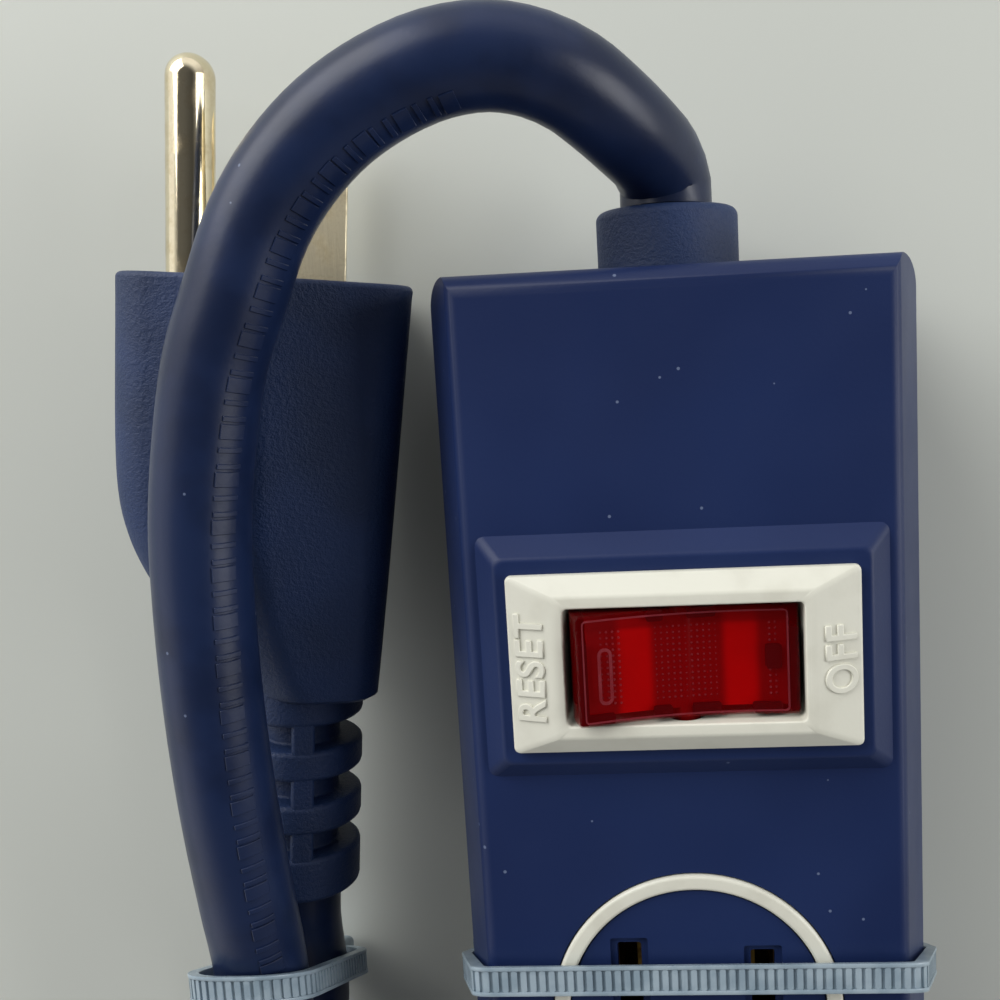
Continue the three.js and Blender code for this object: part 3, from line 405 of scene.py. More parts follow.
cord_places = [Vector(p) + Vector((0, CORD_END, 0)) for p in [*LEAD_ROUTE, *hank_route(), *TAIL_ROUTE]]
for beyond in (CORD_RADIUS, 0):
    cord_places.append(plug_matrix @ Vector((RELIEF_OFFSET, relief_tip - beyond, 0)))
cord_path = smooth_path(cord_places, PATH_SPACING)
cord_length = sum((b - a).length for a, b in zip(cord_path, cord_path[1:]))
print("cord length", round(cord_length, 3), "m, points", len(cord_places), "on the route")

# %% [markdown]
# ## The cord
#
# A tube is a ring of points carried along a path. A bevelled curve would be a tube as well, but a mesh
# shows its size to a millimetre. If each ring were set up by itself, the tube could twist, so each ring's
# frame is the last one, turned by as little as the path turns.


# %% Cord tube
def carried_frames(path):
    """For each point of the path, two directions square to it, without twist."""
    frames = []
    ahead = (path[1] - path[0]).normalized()
    across = ahead.cross(Vector((0, 0, 1))).normalized()
    for i, _ in enumerate(path):
        new = (path[min(i + 1, len(path) - 1)] - path[max(i - 1, 0)]).normalized()
        across = ahead.rotation_difference(new).to_matrix() @ across
        across = (across - new * across.dot(new)).normalized()
        ahead = new
        frames.append((across, across.cross(ahead)))
    return frames


def tube(name, path, radius, sides):
    angles = [2 * math.pi * k / sides for k in range(sides)]
    rings = []
    for centre, (across, over) in zip(path, carried_frames(path)):
        rings.append([centre + radius * (across * math.cos(a) + over * math.sin(a)) for a in angles])
    piece = new_piece(name, *skin(rings))
    piece.data.shade_smooth()
    piece.data.set_sharp_from_angle(angle=SHARP)
    return piece


CORD_SIDES = 32
cord = tube("mains_cord", cord_path, CORD_RADIUS, CORD_SIDES)
print("cord faces", len(cord.data.polygons))

# %% [markdown]
# ## Writing finishes as sums
#
# A finish is a network of nodes, and its maths is easiest to read as a sum. The class below wraps a
# socket: adding, scaling or comparing wraps the Math node that does it. One function adds any other node.
# Colours are mixed with Mix nodes, because a Math node would turn them grey.


# %% Wires
class Wire:
    """An output socket that takes part in Python sums."""

    def __init__(self, tree, socket):
        self.tree, self.socket = tree, socket

    def math(self, operation, first, second=0.0):
        return add_node(self.tree, "ShaderNodeMath", {"operation": operation}, {0: first, 1: second})

    def __add__(self, other):
        return self.math("ADD", self, other)

    def __sub__(self, other):
        return self.math("SUBTRACT", self, other)

    def __rsub__(self, other):
        return self.math("SUBTRACT", other, self)

    def __mul__(self, other):
        return self.math("MULTIPLY", self, other)

    def __lt__(self, other):
        return self.math("LESS_THAN", self, other)

    def __abs__(self):
        return self.math("ABSOLUTE", self)

    __radd__, __rmul__ = __add__, __mul__

    def axes(self):
        return [add_node(self.tree, "ShaderNodeSeparateXYZ", None, {0: self}, axis) for axis in "XYZ"]

    def ranged(self, low, high, to_low=0.0, to_high=1.0):
        """This value carried smoothly from one range to another."""
        inputs = {"Value": self, "From Min": low, "From Max": high, "To Min": to_low, "To Max": to_high}
        return add_node(self.tree, "ShaderNodeMapRange", {"interpolation_type": "SMOOTHSTEP"}, inputs)

    def mix(self, first, second):
        """The first colour where this value is 0, and the second where it is 1."""
        inputs = {"Factor_Float": self, "A_Color": first, "B_Color": second}
        return add_node(self.tree, "ShaderNodeMix", {"data_type": "RGBA"}, inputs, "Result_Color")


def socket_of(sockets, key):
    """A socket by its place, its name or its identifier."""
    if isinstance(key, int):
        return sockets[key]
    return next(s for s in sockets if key in (s.name, s.identifier))


def fill(tree, socket, value):
    if isinstance(value, Wire):
        tree.links.new(value.socket, socket)
    else:
        socket.default_value = value


def add_node(tree, kind, settings=None, inputs=None, output=0):
    """Adds a node, sets it up, fills or links its sockets, and wraps one of its outputs."""
    node = tree.nodes.new(kind)
    for key, value in (settings or {}).items():
        setattr(node, key, value)
    for key, value in (inputs or {}).items():
        fill(tree, socket_of(node.inputs, key), value)
    return Wire(tree, socket_of(node.outputs, output))


# %% [markdown]
# ## What every finish needs
#
# All finishes use one shader with other numbers, so one class holds what they share: noise, specks and a
# bump, measured in real lengths on the piece itself. Painted pictures could be used too, but they would
# need seams and would blur up close.


# %% Finishes
def linear(red, green, blue):
    """A colour as seen on a screen, from 0 to 255, as the light that a shader wants."""
    shares = [c / 255 for c in (red, green, blue)]
    return (*[s / 12.92 if s <= 0.04045 else ((s + 0.055) / 1.055) ** 2.4 for s in shares], 1)


class Finish:
    """A material with one Principled shader."""

    def __init__(self, name, colour, roughness, **constants):
        self.material = bpy.data.materials.new(name)
        self.material.use_nodes = True
        self.tree = self.material.node_tree
        self.set("Base Color", colour)
        self.set("Roughness", roughness)
        for key, value in constants.items():
            self.set(key.replace("_", " "), value)

    def set(self, key, value):
        fill(self.tree, self.tree.nodes["Principled BSDF"].inputs[key], value)

    def node(self, kind, settings=None, inputs=None, output=0):
        return add_node(self.tree, kind, settings, inputs, output)

    def place(self, centre=(0, 0, 0), turn=(0, 0, 0)):
        """Object coordinates, measured from a centre and along turned axes."""
        where = self.node("ShaderNodeTexCoord", output="Object")
        return self.node("ShaderNodeMapping", {"vector_type": "TEXTURE"},
                         {"Vector": where, "Location": centre, "Rotation": turn})

    def noise(self, size, detail=3, vector=None, roughness=0.5):
        """Soft noise from 0 to 1, whose blots are about a size across."""
        inputs = {"Vector": vector or self.place(), "Scale": 1 / size,
                  "Detail": detail, "Roughness": roughness}
        return self.node("ShaderNodeTexNoise", None, inputs, "Fac")

    def specks(self, spacing, radius, share):
        """1 in round specks: a share of the cells that lie a spacing apart have one."""
        inputs = {"Vector": self.place(), "Scale": 1 / spacing}
        distance = self.node("ShaderNodeTexVoronoi", None, inputs, "Distance")
        cell = self.node("ShaderNodeTexVoronoi", None, inputs, "Color")
        chosen = self.node("ShaderNodeSeparateColor", None, {0: cell}, "Red") < share
        return chosen * (distance < radius / spacing)

    def bump(self, height, depth):
        inputs = {"Height": height, "Distance": depth, "Strength": 1.0}
        self.set("Normal", self.node("ShaderNodeBump", None, inputs, "Normal"))


def paint(piece, finish):
    piece.data.materials.clear()
    piece.data.materials.append(finish.material)
    for polygon in piece.data.polygons:
        polygon.material_index = 0


def install(piece, finish, body="root", nodes=()):
    """Paints a new piece, makes it ride on a body, and lets it stand for nodes of the frame."""
    paint(piece, finish)
    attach(piece, body)
    if nodes:
        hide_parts(*nodes)
    print(piece.name, len(piece.data.polygons), "faces")
    return piece


# %% [markdown]
# ## Navy plastic
#
# The housing, plug and cord are one colour in three surfaces. The housing is satin, with a grain so
# fine that it only spreads the light, and a few pale specks of dust and rubbed spots. The plug has the
# wrinkled grain of soft vinyl. The cord is smooth and softly mottled.

# %% Navy finishes
NAVY = linear(27, 43, 85)
NAVY_DEEP = linear(22, 37, 77)
NAVY_RUBBED = linear(110, 122, 150)

housing_finish = Finish("housing_plastic", NAVY, 0.42, Specular_IOR_Level=0.26)
tinted = housing_finish.noise(26 * MM, 2).ranged(0.35, 0.65).mix(NAVY_DEEP, NAVY)
dust = housing_finish.specks(3.6 * MM, 0.17 * MM, 0.8)
housing_finish.set("Base Color", (dust * 0.7).mix(tinted, NAVY_RUBBED))
housing_finish.set("Roughness", 0.38 + 0.14 * housing_finish.noise(9 * MM, 3))
housing_finish.bump(housing_finish.noise(0.35 * MM, 2), 0.012 * MM)

vinyl_finish = Finish("plug_vinyl", NAVY_DEEP, 0.5, Specular_IOR_Level=0.42)
wrinkle = vinyl_finish.noise(0.42 * MM, 4, roughness=0.65)
patchy = vinyl_finish.noise(12 * MM, 2).ranged(0.35, 0.65)
vinyl_finish.set("Base Color", patchy.mix(linear(22, 42, 78), linear(28, 50, 92)))
vinyl_finish.set("Roughness", 0.44 + 0.18 * wrinkle)
vinyl_finish.bump(wrinkle + 0.3 * vinyl_finish.noise(0.15 * MM, 2), 0.14 * MM)

cord_finish = Finish("cord_vinyl", NAVY_DEEP, 0.3, Specular_IOR_Level=0.34)
mottled = cord_finish.noise(7 * MM, 3).ranged(0.35, 0.65).mix(linear(19, 31, 60), linear(25, 39, 72))
cord_dust = cord_finish.specks(3.4 * MM, 0.15 * MM, 0.6)
cord_finish.set("Base Color", (cord_dust * 0.7).mix(mottled, NAVY_RUBBED))
cord_finish.set("Roughness", 0.27 + 0.14 * cord_finish.noise(3 * MM, 3))
cord_finish.bump(cord_finish.noise(0.5 * MM, 3), 0.01 * MM)

install(cord, cord_finish, nodes=("cord_lead", "cord_hank", "cord_tail"))

# %% [markdown]
# ## White plastic
#
# The rings and the switch's frame are warm white. A single colour would look like paint, so faint soiled
# patches and a few dark specks lie on it, and the gloss varies a little.

# %% White finishes
WHITE = linear(220, 219, 205)
WHITE_WORN = linear(203, 201, 186)


def white_finish(name, gloss):
    finish = Finish(name, WHITE, gloss, Specular_IOR_Level=0.45)
    worn = finish.noise(4 * MM, 3).ranged(0.45, 0.75)
    spots = finish.specks(3.5 * MM, 0.07 * MM, 0.1)
    soiled = (worn * 0.5).mix(WHITE, WHITE_WORN)
    finish.set("Base Color", (spots * 0.7).mix(soiled, linear(120, 112, 96)))
    finish.set("Roughness", gloss - 0.06 + 0.12 * finish.noise(1.6 * MM, 3))
    finish.bump(finish.noise(0.4 * MM, 2), 0.008 * MM)
    return finish


bezel_finish = white_finish("bezel_plastic", 0.42)
ring_finish = white_finish("ring_plastic", 0.36)
print("white finishes", bezel_finish.material.name, ring_finish.material.name)

# %% [markdown]
# ## Red lens and block
#
# The rocker is a clear red cap over a red block, whose bright bands show through. Real refraction would be
# slow and dark, so the cap is a thin tinted layer that lets part of the light past, and the bands are on
# the block, measured from the rocker's own middle and tilt. Dots and lines are a half-clear pink. On the
# line round the face's edge this pink is a painted highlight of the cap's rounded edge, and on the dots it
# is partly painted highlight.

# %% Red finishes
HINGE = Vector(frame["joints"][0]["pos_m"])
ROCKER_TILT = math.radians(7.6)
BAND_EDGE = 0.5 * MM
FAR_SIDE = (3 * MM, 3.6 * MM)

lens_finish = Finish("rocker_lens", linear(140, 0, 4), 0.08, Specular_IOR_Level=0.3, Alpha=0.24)
lens_place = lens_finish.place(HINGE, (0, ROCKER_TILT, 0))
lens_finish.set("Roughness", 0.05 + 0.1 * lens_finish.noise(3 * MM, 2, lens_place))

core_finish = Finish("rocker_core", linear(112, 0, 2), 0.4, Specular_IOR_Level=0.1)
core_place = core_finish.place(HINGE, (0, ROCKER_TILT, 0))
across_core, along_core, _ = core_place.axes()


def band(middle, half_width):
    """1 on a bright band of the block, which runs along the hinge."""
    return 1 - abs(across_core - middle).ranged(half_width - BAND_EDGE, half_width + BAND_EDGE)


bright = band(-4.6 * MM, 1.5 * MM) + band(4.9 * MM, 1.45 * MM)
core_red = bright.mix(linear(118, 0, 3), linear(194, 0, 1))
core_red = (along_core.ranged(*FAR_SIDE) * 0.6).mix(core_red, linear(84, 0, 3))
cloud = core_finish.noise(2.5 * MM, 2, core_place)
core_finish.set("Base Color", (cloud * 0.3).mix(core_red, linear(92, 0, 3)))

stop_finish = Finish("rocker_stop", linear(26, 0, 3), 0.4, Specular_IOR_Level=0.1)
stop_finish.set("Roughness", 0.35 + 0.2 * stop_finish.noise(1 * MM, 2))

# Pale pink for the dots and the two lines: painted highlight on the line round the face's edge, partly painted
# highlight on the dots, and the real colour of the pill mark.
pink_and_highlight_finish = Finish("rocker_pink_and_highlight", linear(146, 54, 64), 0.3, Specular_IOR_Level=0.4)
pink_and_highlight_finish.set("Roughness", 0.25 + 0.2 * pink_and_highlight_finish.noise(1 * MM, 2))
pink_and_highlight_finish.set("Alpha", 0.15 + 0.55 * pink_and_highlight_finish.noise(1.5 * MM, 2))
print("hinge", [round(place / MM, 1) for place in HINGE], "mm")

# %% [markdown]
# ## Metal
#
# The ground pin is polished nickel, drawn lengthwise. The blades are stamped from dull nickel-plated
# strip, with cloudy stains. Brass and zinc-plated steel serve the inner parts and the screws. One recipe
# makes all four: the same noise, stretched along Y, is a drawn grain on any of them.


# %% Metal finishes
def metal_finish(name, colour, stain, roughness, grain, depth):
    finish = Finish(name, linear(*colour), roughness, Metallic=1.0)
    drawn = finish.node("ShaderNodeVectorMath", {"operation": "MULTIPLY"},
                        {0: finish.place(), 1: (1, 0.08, 1)})
    stains = finish.noise(3 * MM, 4, roughness=0.7).ranged(0.42, 0.7)
    finish.set("Base Color", stains.mix(linear(*colour), linear(*stain)))
    finish.set("Roughness", roughness + 0.16 * stains)
    finish.bump(finish.noise(grain, 3, drawn), depth)
    return finish


pin_finish = metal_finish("pin_nickel", (232, 220, 190), (214, 198, 164), 0.1, 0.3 * MM, 0.004 * MM)
blade_finish = metal_finish("blade_nickel", (238, 226, 194), (206, 193, 160), 0.48, 0.3 * MM, 0.012 * MM)
brass_finish = metal_finish("brass_strip", (172, 138, 70), (124, 94, 48), 0.34, 0.4 * MM, 0.008 * MM)
steel_finish = metal_finish("zinc_steel", (172, 174, 176), (128, 130, 134), 0.34, 0.3 * MM, 0.01 * MM)
print("metal finishes, the last one", steel_finish.material.name)

# %% [markdown]
# ## Tie nylon and inner parts
#
# A cable tie is milky nylon that lets some of what is under it show. The inner parts are plain
# coloured plastics, and each still has a little unevenness, so that none looks painted. They stay the
# frame's own meshes, so it is enough to give each one the material of its slot.


# %% Other finishes
def plastic_finish(name, colour, shade, roughness, size, depth, **constants):
    finish = Finish(name, linear(*colour), roughness, **constants)
    uneven = finish.noise(size, 3).ranged(0.35, 0.65)
    finish.set("Base Color", uneven.mix(linear(*colour), linear(*shade)))
    finish.set("Roughness", roughness - 0.06 + 0.12 * finish.noise(size / 3, 2))
    finish.bump(finish.noise(size / 8, 2), depth)
    return finish


tie_finish = plastic_finish("tie_nylon", (170, 187, 198), (148, 167, 180), 0.3, 3 * MM, 0.01 * MM, Alpha=0.8)
glass_finish = plastic_finish("lamp_glass", (232, 170, 110), (222, 150, 90), 0.12, 2 * MM, 0.004 * MM,
                              Alpha=0.5)
INNER_PLASTICS = {
    "switch_case": ("switch_case_plastic", (30, 30, 32), (20, 20, 22), 0.5, 3 * MM, 0.01 * MM),
    "cream": ("cream_plastic", (216, 211, 190), (200, 194, 172), 0.5, 4 * MM, 0.01 * MM),
    "board": ("board_laminate", (46, 108, 62), (38, 92, 54), 0.45, 2 * MM, 0.02 * MM),
    "varistor": ("dipped_blue", (42, 82, 164), (34, 66, 140), 0.3, 3 * MM, 0.03 * MM),
    "wire_black": ("wire_black", (24, 24, 26), (36, 36, 38), 0.4, 4 * MM, 0.01 * MM),
    "wire_white": ("wire_white", (228, 228, 222), (210, 210, 204), 0.4, 4 * MM, 0.01 * MM),
    "wire_green": ("wire_green", (46, 126, 60), (38, 106, 50), 0.4, 4 * MM, 0.01 * MM),
}
slot_finishes = {slot: plastic_finish(*values) for slot, values in INNER_PLASTICS.items()}
slot_finishes.update(lamp_glass=glass_finish, brass=brass_finish, steel=steel_finish, nickel=blade_finish,
                     housing=housing_finish, bezel=bezel_finish, ring=ring_finish, rocker=lens_finish,
                     cord=cord_finish, tie=tie_finish)
for subpart in frame["record"]["subparts"]:
    materials = frame["nodes"][subpart["node"]].data.materials
    materials.clear()
    materials.append(slot_finishes[subpart["material_slot"]].material)
print("finishes", len(bpy.data.materials))

# %% [markdown]
# ## The shells
#
# Each shell is an outline across, run along the strip and cut to a rounded outline in plan and a rounded
# one from the side, as an injection mould would be milled. Modelling it from a box with loops would
# work too, but the three outlines keep its sizes exact. A shell is named here by its seam, the width of
# its flat side and the level of that side.

# %% Shell blanks
FACE_WIDTH = 39.9 * MM
WAIST_WIDTH = 47.2 * MM
BACK_WIDTH = 44 * MM
FACE_LEVEL = 30 * MM
SEAM_TOP = 19.4 * MM
SEAM_BOTTOM = 19.1 * MM
FOOT_LEVEL = 1.9 * MM
WALL = 2 * MM
END_WALL = 2.4 * MM
END_ROUND = 2.2 * MM
CORNER_ROUND = 2.6 * MM
FACE_ROUND = 1.3 * MM
BACK_ROUND = 1 * MM
FIT = 0.3 * MM
OVERRUN = 1 * MM
FAR_END = -CORD_END
TOP = (SEAM_TOP, FACE_WIDTH, FACE_LEVEL)
BOTTOM = (SEAM_BOTTOM, BACK_WIDTH, FOOT_LEVEL)


def shell_blank(name, seam, flat_width, flat, edge_round):
    """A shell's outside: its section from the seam to its flat side, cut to the plan and the side view."""
    waist, half = WAIST_WIDTH / 2, flat_width / 2
    section = [(waist, seam, 0), (half, flat, edge_round), (-half, flat, edge_round), (-waist, seam, 0)]
    blank = prism(name, rounded(section, 6), "Y", FAR_END, CORD_END)
    plan = rectangle(WAIST_WIDTH, CORD_END - FAR_END, CORNER_ROUND, 8)
    combine(blank, prism("plan", plan, "Z", min(seam, flat), max(seam, flat)), "INTERSECT")
    side = [(FAR_END, seam, 0), (CORD_END, seam, 0), (CORD_END, flat, END_ROUND), (FAR_END, flat, END_ROUND)]
    return combine(blank, prism("side", rounded(side, 8), "X", -WAIST_WIDTH, WAIST_WIDTH), "INTERSECT")


def hollow(seam, flat_width, flat):
    """What the cavity takes out, a wall's thickness inside the blank. It starts beyond the seam."""
    inward = math.copysign(1, seam - flat)
    waist = WAIST_WIDTH / 2 - WALL
    half = [(waist, seam + inward * OVERRUN), (waist, seam), (flat_width / 2 - WALL, flat + inward * WALL)]
    section = [*half, *[(-x, z) for x, z in reversed(half)]]
    return prism("hollow", section, "Y", FAR_END + END_WALL, CORD_END - END_WALL)


print("housing", round((CORD_END - FAR_END) / MM, 1), "mm long")

# %% [markdown]
# ## Screws and collar in the shells
#
# Six posts take the screws, and a round hole in the end wall takes the cord's collar. Both shells share
# them, so they are made by functions of their own. The holes are a little wider than what goes in them.

# %% Posts and bores
CORD_LEVEL = 15 * MM
NECK_RADIUS = 5.7 * MM
BORE_RUN = 5 * MM
BOSS_RADIUS = 4 * MM
BOSS_X = 17.4 * MM
BOSS_INSET = 10 * MM
BOSS_ROWS = (CORD_END - BOSS_INSET, 0, FAR_END + BOSS_INSET)
BOSS_PLACES = [(x, y) for y in BOSS_ROWS for x in (-BOSS_X, BOSS_X)]
SCREW_RADIUS = 1.2 * MM
SCREW_HEAD = 2.4 * MM
SCREW_SEAT = 9 * MM
SCREW_TOP = FACE_LEVEL - 5 * MM


def collar_bore():
    start = CORD_END - END_WALL - OVERRUN
    return rod("bore", NECK_RADIUS + FIT, 0, BORE_RUN, 48, "Y", (0, start, CORD_LEVEL))


def screw_holes():
    """Stepped holes: wide for the heads, narrow for the shanks."""
    head, shank, end = SCREW_HEAD + FIT, SCREW_RADIUS + FIT, SCREW_TOP + FIT
    profile = [(0, -OVERRUN), (head, -OVERRUN), (head, SCREW_SEAT), (shank, SCREW_SEAT),
               (shank, end), (0, end)]
    return merge("screw_holes", [turned("hole", profile, 32, centre=(x, y, 0)) for x, y in BOSS_PLACES])


def posts(low, high):
    return merge("posts", [prism("post", disc(BOSS_RADIUS, place), "Z", low, high) for place in BOSS_PLACES])


print("posts", len(BOSS_PLACES))

# %% [markdown]
# ## The top shell
#
# The top shell carries the raised plinth of the switch and, for each outlet, two slots with a shallow
# recess, a ground hole and the groove of its ring. What goes through the wall is cut out with booleans:
# the solver needs cutters that don't touch each other, so they go in groups.

# %% Cutters of the outlets
ring_low, ring_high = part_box("outlet_ring_1")
OUTLET_COUNT = len([name for name in frame["nodes"] if name.startswith("outlet_ring_")])
OUTLET_Y = (ring_low.y + ring_high.y) / 2
OUTLET_PITCH = 37 * MM
RING_RADIUS = (ring_high.y - ring_low.y) / 2
RING_BAND = 1.5 * MM
GROOVE_DEPTH = 1 * MM
SLOT_X = 12.7 * MM / 2
SLOT_RISE = 2.4 * MM
SLOT_WIDTH = 2.3 * MM
SLOT_LENGTHS = (8.8 * MM, 7 * MM)
SLOT_CORNER = 0.25 * MM
RECESS_RIM = 0.65 * MM
RECESS_DEPTH = 0.5 * MM
GROUND_DROP = 9.5 * MM
GROUND_RADIUS = 2.65 * MM
CUT_LOW = FACE_LEVEL - WALL - OVERRUN
CUT_HIGH = FACE_LEVEL + OVERRUN


def cutter_slot(x, y, length):
    """A blade slot with the shallow recess round it, as one stepped block."""
    step = FACE_LEVEL - RECESS_DEPTH
    rings = []
    for rim, level in ((0, CUT_LOW), (0, step), (RECESS_RIM, step), (RECESS_RIM, CUT_HIGH)):
        outline = rectangle(SLOT_WIDTH + 2 * rim, length + 2 * rim, SLOT_CORNER, 2, (x, y))
        rings.append(at_level(outline, level))
    return new_piece("slot", *skin(rings))


def ground_hole(y):
    """A hole that is round below and square above."""
    centre = y - GROUND_DROP
    top = centre + GROUND_RADIUS
    outline = [*arc(GROUND_RADIUS, 180, 360, 20, (0, centre)), (GROUND_RADIUS, top), (-GROUND_RADIUS, top)]
    return prism("ground_hole", outline, "Z", CUT_LOW, CUT_HIGH)


def ring_groove(y):
    inner, outer = RING_RADIUS - RING_BAND - FIT / 2, RING_RADIUS + FIT / 2
    low = FACE_LEVEL - GROOVE_DEPTH
    profile = [(inner, low), (outer, low), (outer, CUT_HIGH), (inner, CUT_HIGH)]
    return turned("groove", profile, 96, centre=(0, y, 0))


def outlet_cutters(y):
    left, right = SLOT_LENGTHS
    slots = [cutter_slot(-SLOT_X, y + SLOT_RISE, left), cutter_slot(SLOT_X, y + SLOT_RISE, right)]
    return [ring_groove(y), ground_hole(y), *slots]


# %% Top shell
SWITCH_Y = HINGE.y
SURROUND_TOP = 32 * MM
SURROUND_SIZE = (37.5 * MM, 22.9 * MM)
SURROUND_SLOPE = 1.9 * MM
SURROUND_INSET = 5 * MM
SLOPE_ROUND = 0.7 * MM
SURROUND_CORNER = 0.9 * MM
SWITCH_HOLE = (29.2 * MM, 14 * MM)
HOLE_CORNER = 0.5 * MM


def surround():
    """The raised plinth that carries the switch."""
    width, depth = SURROUND_SIZE
    slope = [(0, FACE_LEVEL - WALL / 2, 0), (0, FACE_LEVEL, 0), (SURROUND_SLOPE, SURROUND_TOP, SLOPE_ROUND),
             (SURROUND_INSET, SURROUND_TOP, 0)]
    profile = [(width - 2 * p.x, depth - 2 * p.x, p.y) for p in rounded(slope, 4, closed=False)]
    return stacked("surround", profile, SURROUND_CORNER, (0, SWITCH_Y))


def top_shell():
    shell = join(shell_blank("housing_top", *TOP, FACE_ROUND), surround())
    cut(shell, hollow(*TOP))
    inside = shell_blank("inside", *TOP, FACE_ROUND)
    join(shell, combine(posts(SEAM_TOP, FACE_LEVEL - WALL / 2), inside, "INTERSECT"))
    switch_hole = rectangle(*SWITCH_HOLE, HOLE_CORNER, 3, (0, SWITCH_Y))
    cutters = [prism("switch_hole", switch_hole, "Z", CUT_LOW, SURROUND_TOP + OVERRUN)]
    for i in range(OUTLET_COUNT):
        cutters += outlet_cutters(OUTLET_Y - i * OUTLET_PITCH)
    cut(shell, merge("cutters", cutters))
    cut(shell, screw_holes())
    return cut(shell, collar_bore())


install(soften(top_shell()), housing_finish, nodes=["top_shell"])

# %% [markdown]
# ## The bottom shell
#
# The bottom shell holds the tray of contacts on ribs between the outlets, and it rests on three pads. Two
# keyholes let it hang on a wall. The same blank, hollow, posts and holes serve again, so that the shells
# meet exactly at the seam.

# %% Bottom shell
tray_low, tray_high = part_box("contact_carrier")
RIB = 1.6 * MM
RIB_LENGTH = 34 * MM
RIB_CORNER = 0.2 * MM
PAD_INSET = 16 * MM
PAD_SIZE = (30 * MM, 14 * MM)
PAD_EDGE = 0.5 * MM
PAD_CORNER = 1 * MM
KEYHOLE_PLACES = (-78 * MM, 41 * MM)
KEYHOLE_RADIUS = 4 * MM
KEYHOLE_SLOT = 2.3 * MM
KEYHOLE_REACH = 9 * MM


def keyhole(y):
    """A round hole for a screw's head, with a slot above it for its shank."""
    angle = math.degrees(math.asin(KEYHOLE_SLOT / KEYHOLE_RADIUS))
    head = arc(KEYHOLE_RADIUS, 90 + angle, 450 - angle, 32, (0, y))
    outline = [*head, (KEYHOLE_SLOT, y + KEYHOLE_REACH), (-KEYHOLE_SLOT, y + KEYHOLE_REACH)]
    return prism("keyhole", outline, "Z", -OVERRUN, FOOT_LEVEL + WALL + OVERRUN)


def pad(y):
    width, depth = PAD_SIZE
    profile = [(width - 2 * PAD_EDGE, depth - 2 * PAD_EDGE, 0), (width, depth, PAD_EDGE),
               (width, depth, FOOT_LEVEL + WALL / 2)]
    return stacked("pad", profile, PAD_CORNER, (0, y))


def tray_rib(y, foot):
    return prism("rib", rectangle(RIB_LENGTH, RIB, RIB_CORNER, 1, (0, y)), "Z", foot, tray_low.z - FIT)


def bottom_shell():
    shell = shell_blank("housing_bottom", *BOTTOM, BACK_ROUND)
    cut(shell, hollow(*BOTTOM))
    foot = FOOT_LEVEL + WALL / 2
    join(shell, posts(foot, SEAM_BOTTOM))
    middles = [OUTLET_Y - (i + 0.5) * OUTLET_PITCH for i in range(1, OUTLET_COUNT - 1)]
    rib_places = [tray_low.y + RIB, tray_high.y - RIB, *middles]
    join(shell, merge("ribs", [tray_rib(y, foot) for y in rib_places]))
    join(shell, merge("pads", [pad(y) for y in (CORD_END - PAD_INSET, 0, FAR_END + PAD_INSET)]))
    cut(shell, merge("keyholes", [keyhole(y) for y in KEYHOLE_PLACES]))
    cut(shell, screw_holes())
    return cut(shell, collar_bore())


install(soften(bottom_shell()), housing_finish, nodes=["bottom_shell"])

# %% [markdown]
# ## Rows
#
# Six rings and six screws are each one piece repeated. A loop could copy the mesh, but a node tree keeps
# one original and the count and the step as its inputs, which can be changed without touching the mesh.
# The same tree makes a row of anything, and a row of rows is a grid.


# %% A tree for rows
def new_tree(name, sockets):
    """An empty node tree for geometry with its inputs, and where these come in."""
    tree = bpy.data.node_groups.new(name, "GeometryNodeTree")
    tree.interface.new_socket("Geometry", in_out="OUTPUT", socket_type="NodeSocketGeometry")
    for key, kind in [("Geometry", "Geometry"), *sockets, ("Material", "Material")]:
        tree.interface.new_socket(key, in_out="INPUT", socket_type="NodeSocket" + kind)
    entry = tree.nodes.new("NodeGroupInput")
    return tree, {socket.name: Wire(tree, socket) for socket in entry.outputs if socket.name}


def close_tree(tree, instances, material):
    """Makes real mesh of the instances, paints them and sends them out."""
    real = add_node(tree, "GeometryNodeRealizeInstances", None, {"Geometry": instances})
    painted = add_node(tree, "GeometryNodeSetMaterial", None, {"Geometry": real, "Material": material})
    tree.links.new(painted.socket, tree.nodes.new("NodeGroupOutput").inputs[0])


def grow(piece, tree, values, finish):
    """Runs a tree on a piece and keeps what it makes as plain mesh."""
    values = {**values, "Material": finish.material}
    modifier = piece.modifiers.new(tree.name, "NODES")
    modifier.node_group = tree
    for item in tree.interface.items_tree:
        if item.in_out == "INPUT" and item.name in values:
            modifier[item.identifier] = values[item.name]
    return settle(piece)


row_tree, entry = new_tree("row", [("Count", "Int"), ("Step", "Vector")])
line = add_node(row_tree, "GeometryNodeMeshLine", None, {"Count": entry["Count"], "Offset": entry["Step"]})
row = add_node(row_tree, "GeometryNodeInstanceOnPoints", None,
               {"Points": line, "Instance": entry["Geometry"]})
close_tree(row_tree, row, entry["Material"])
print("row tree", len(row_tree.nodes), "nodes")

# %% [markdown]
# ## Rings and screws
#
# A ring is a band with a rounded top that stands a little proud of the face. A screw has a pan head with a
# cross recess, which two bars cut. Both could be joined from primitives, but turning a profile gives the
# rounding in the same step.

# %% Rings
RING_PROUD = 0.4 * MM
RING_SINK = 0.7 * MM
RING_ROUND = 0.35 * MM


def outlet_rings():
    inner, low, high = RING_RADIUS - RING_BAND, FACE_LEVEL - RING_SINK, FACE_LEVEL + RING_PROUD
    profile = [(inner, low, 0), (RING_RADIUS, low, 0), (RING_RADIUS, high, RING_ROUND),
               (inner, high, RING_ROUND)]
    ring = turned("outlet_rings", rounded(profile, 4), 128, centre=(0, OUTLET_Y, 0))
    return grow(ring, row_tree, {"Count": OUTLET_COUNT, "Step": (0, -OUTLET_PITCH, 0)}, ring_finish)


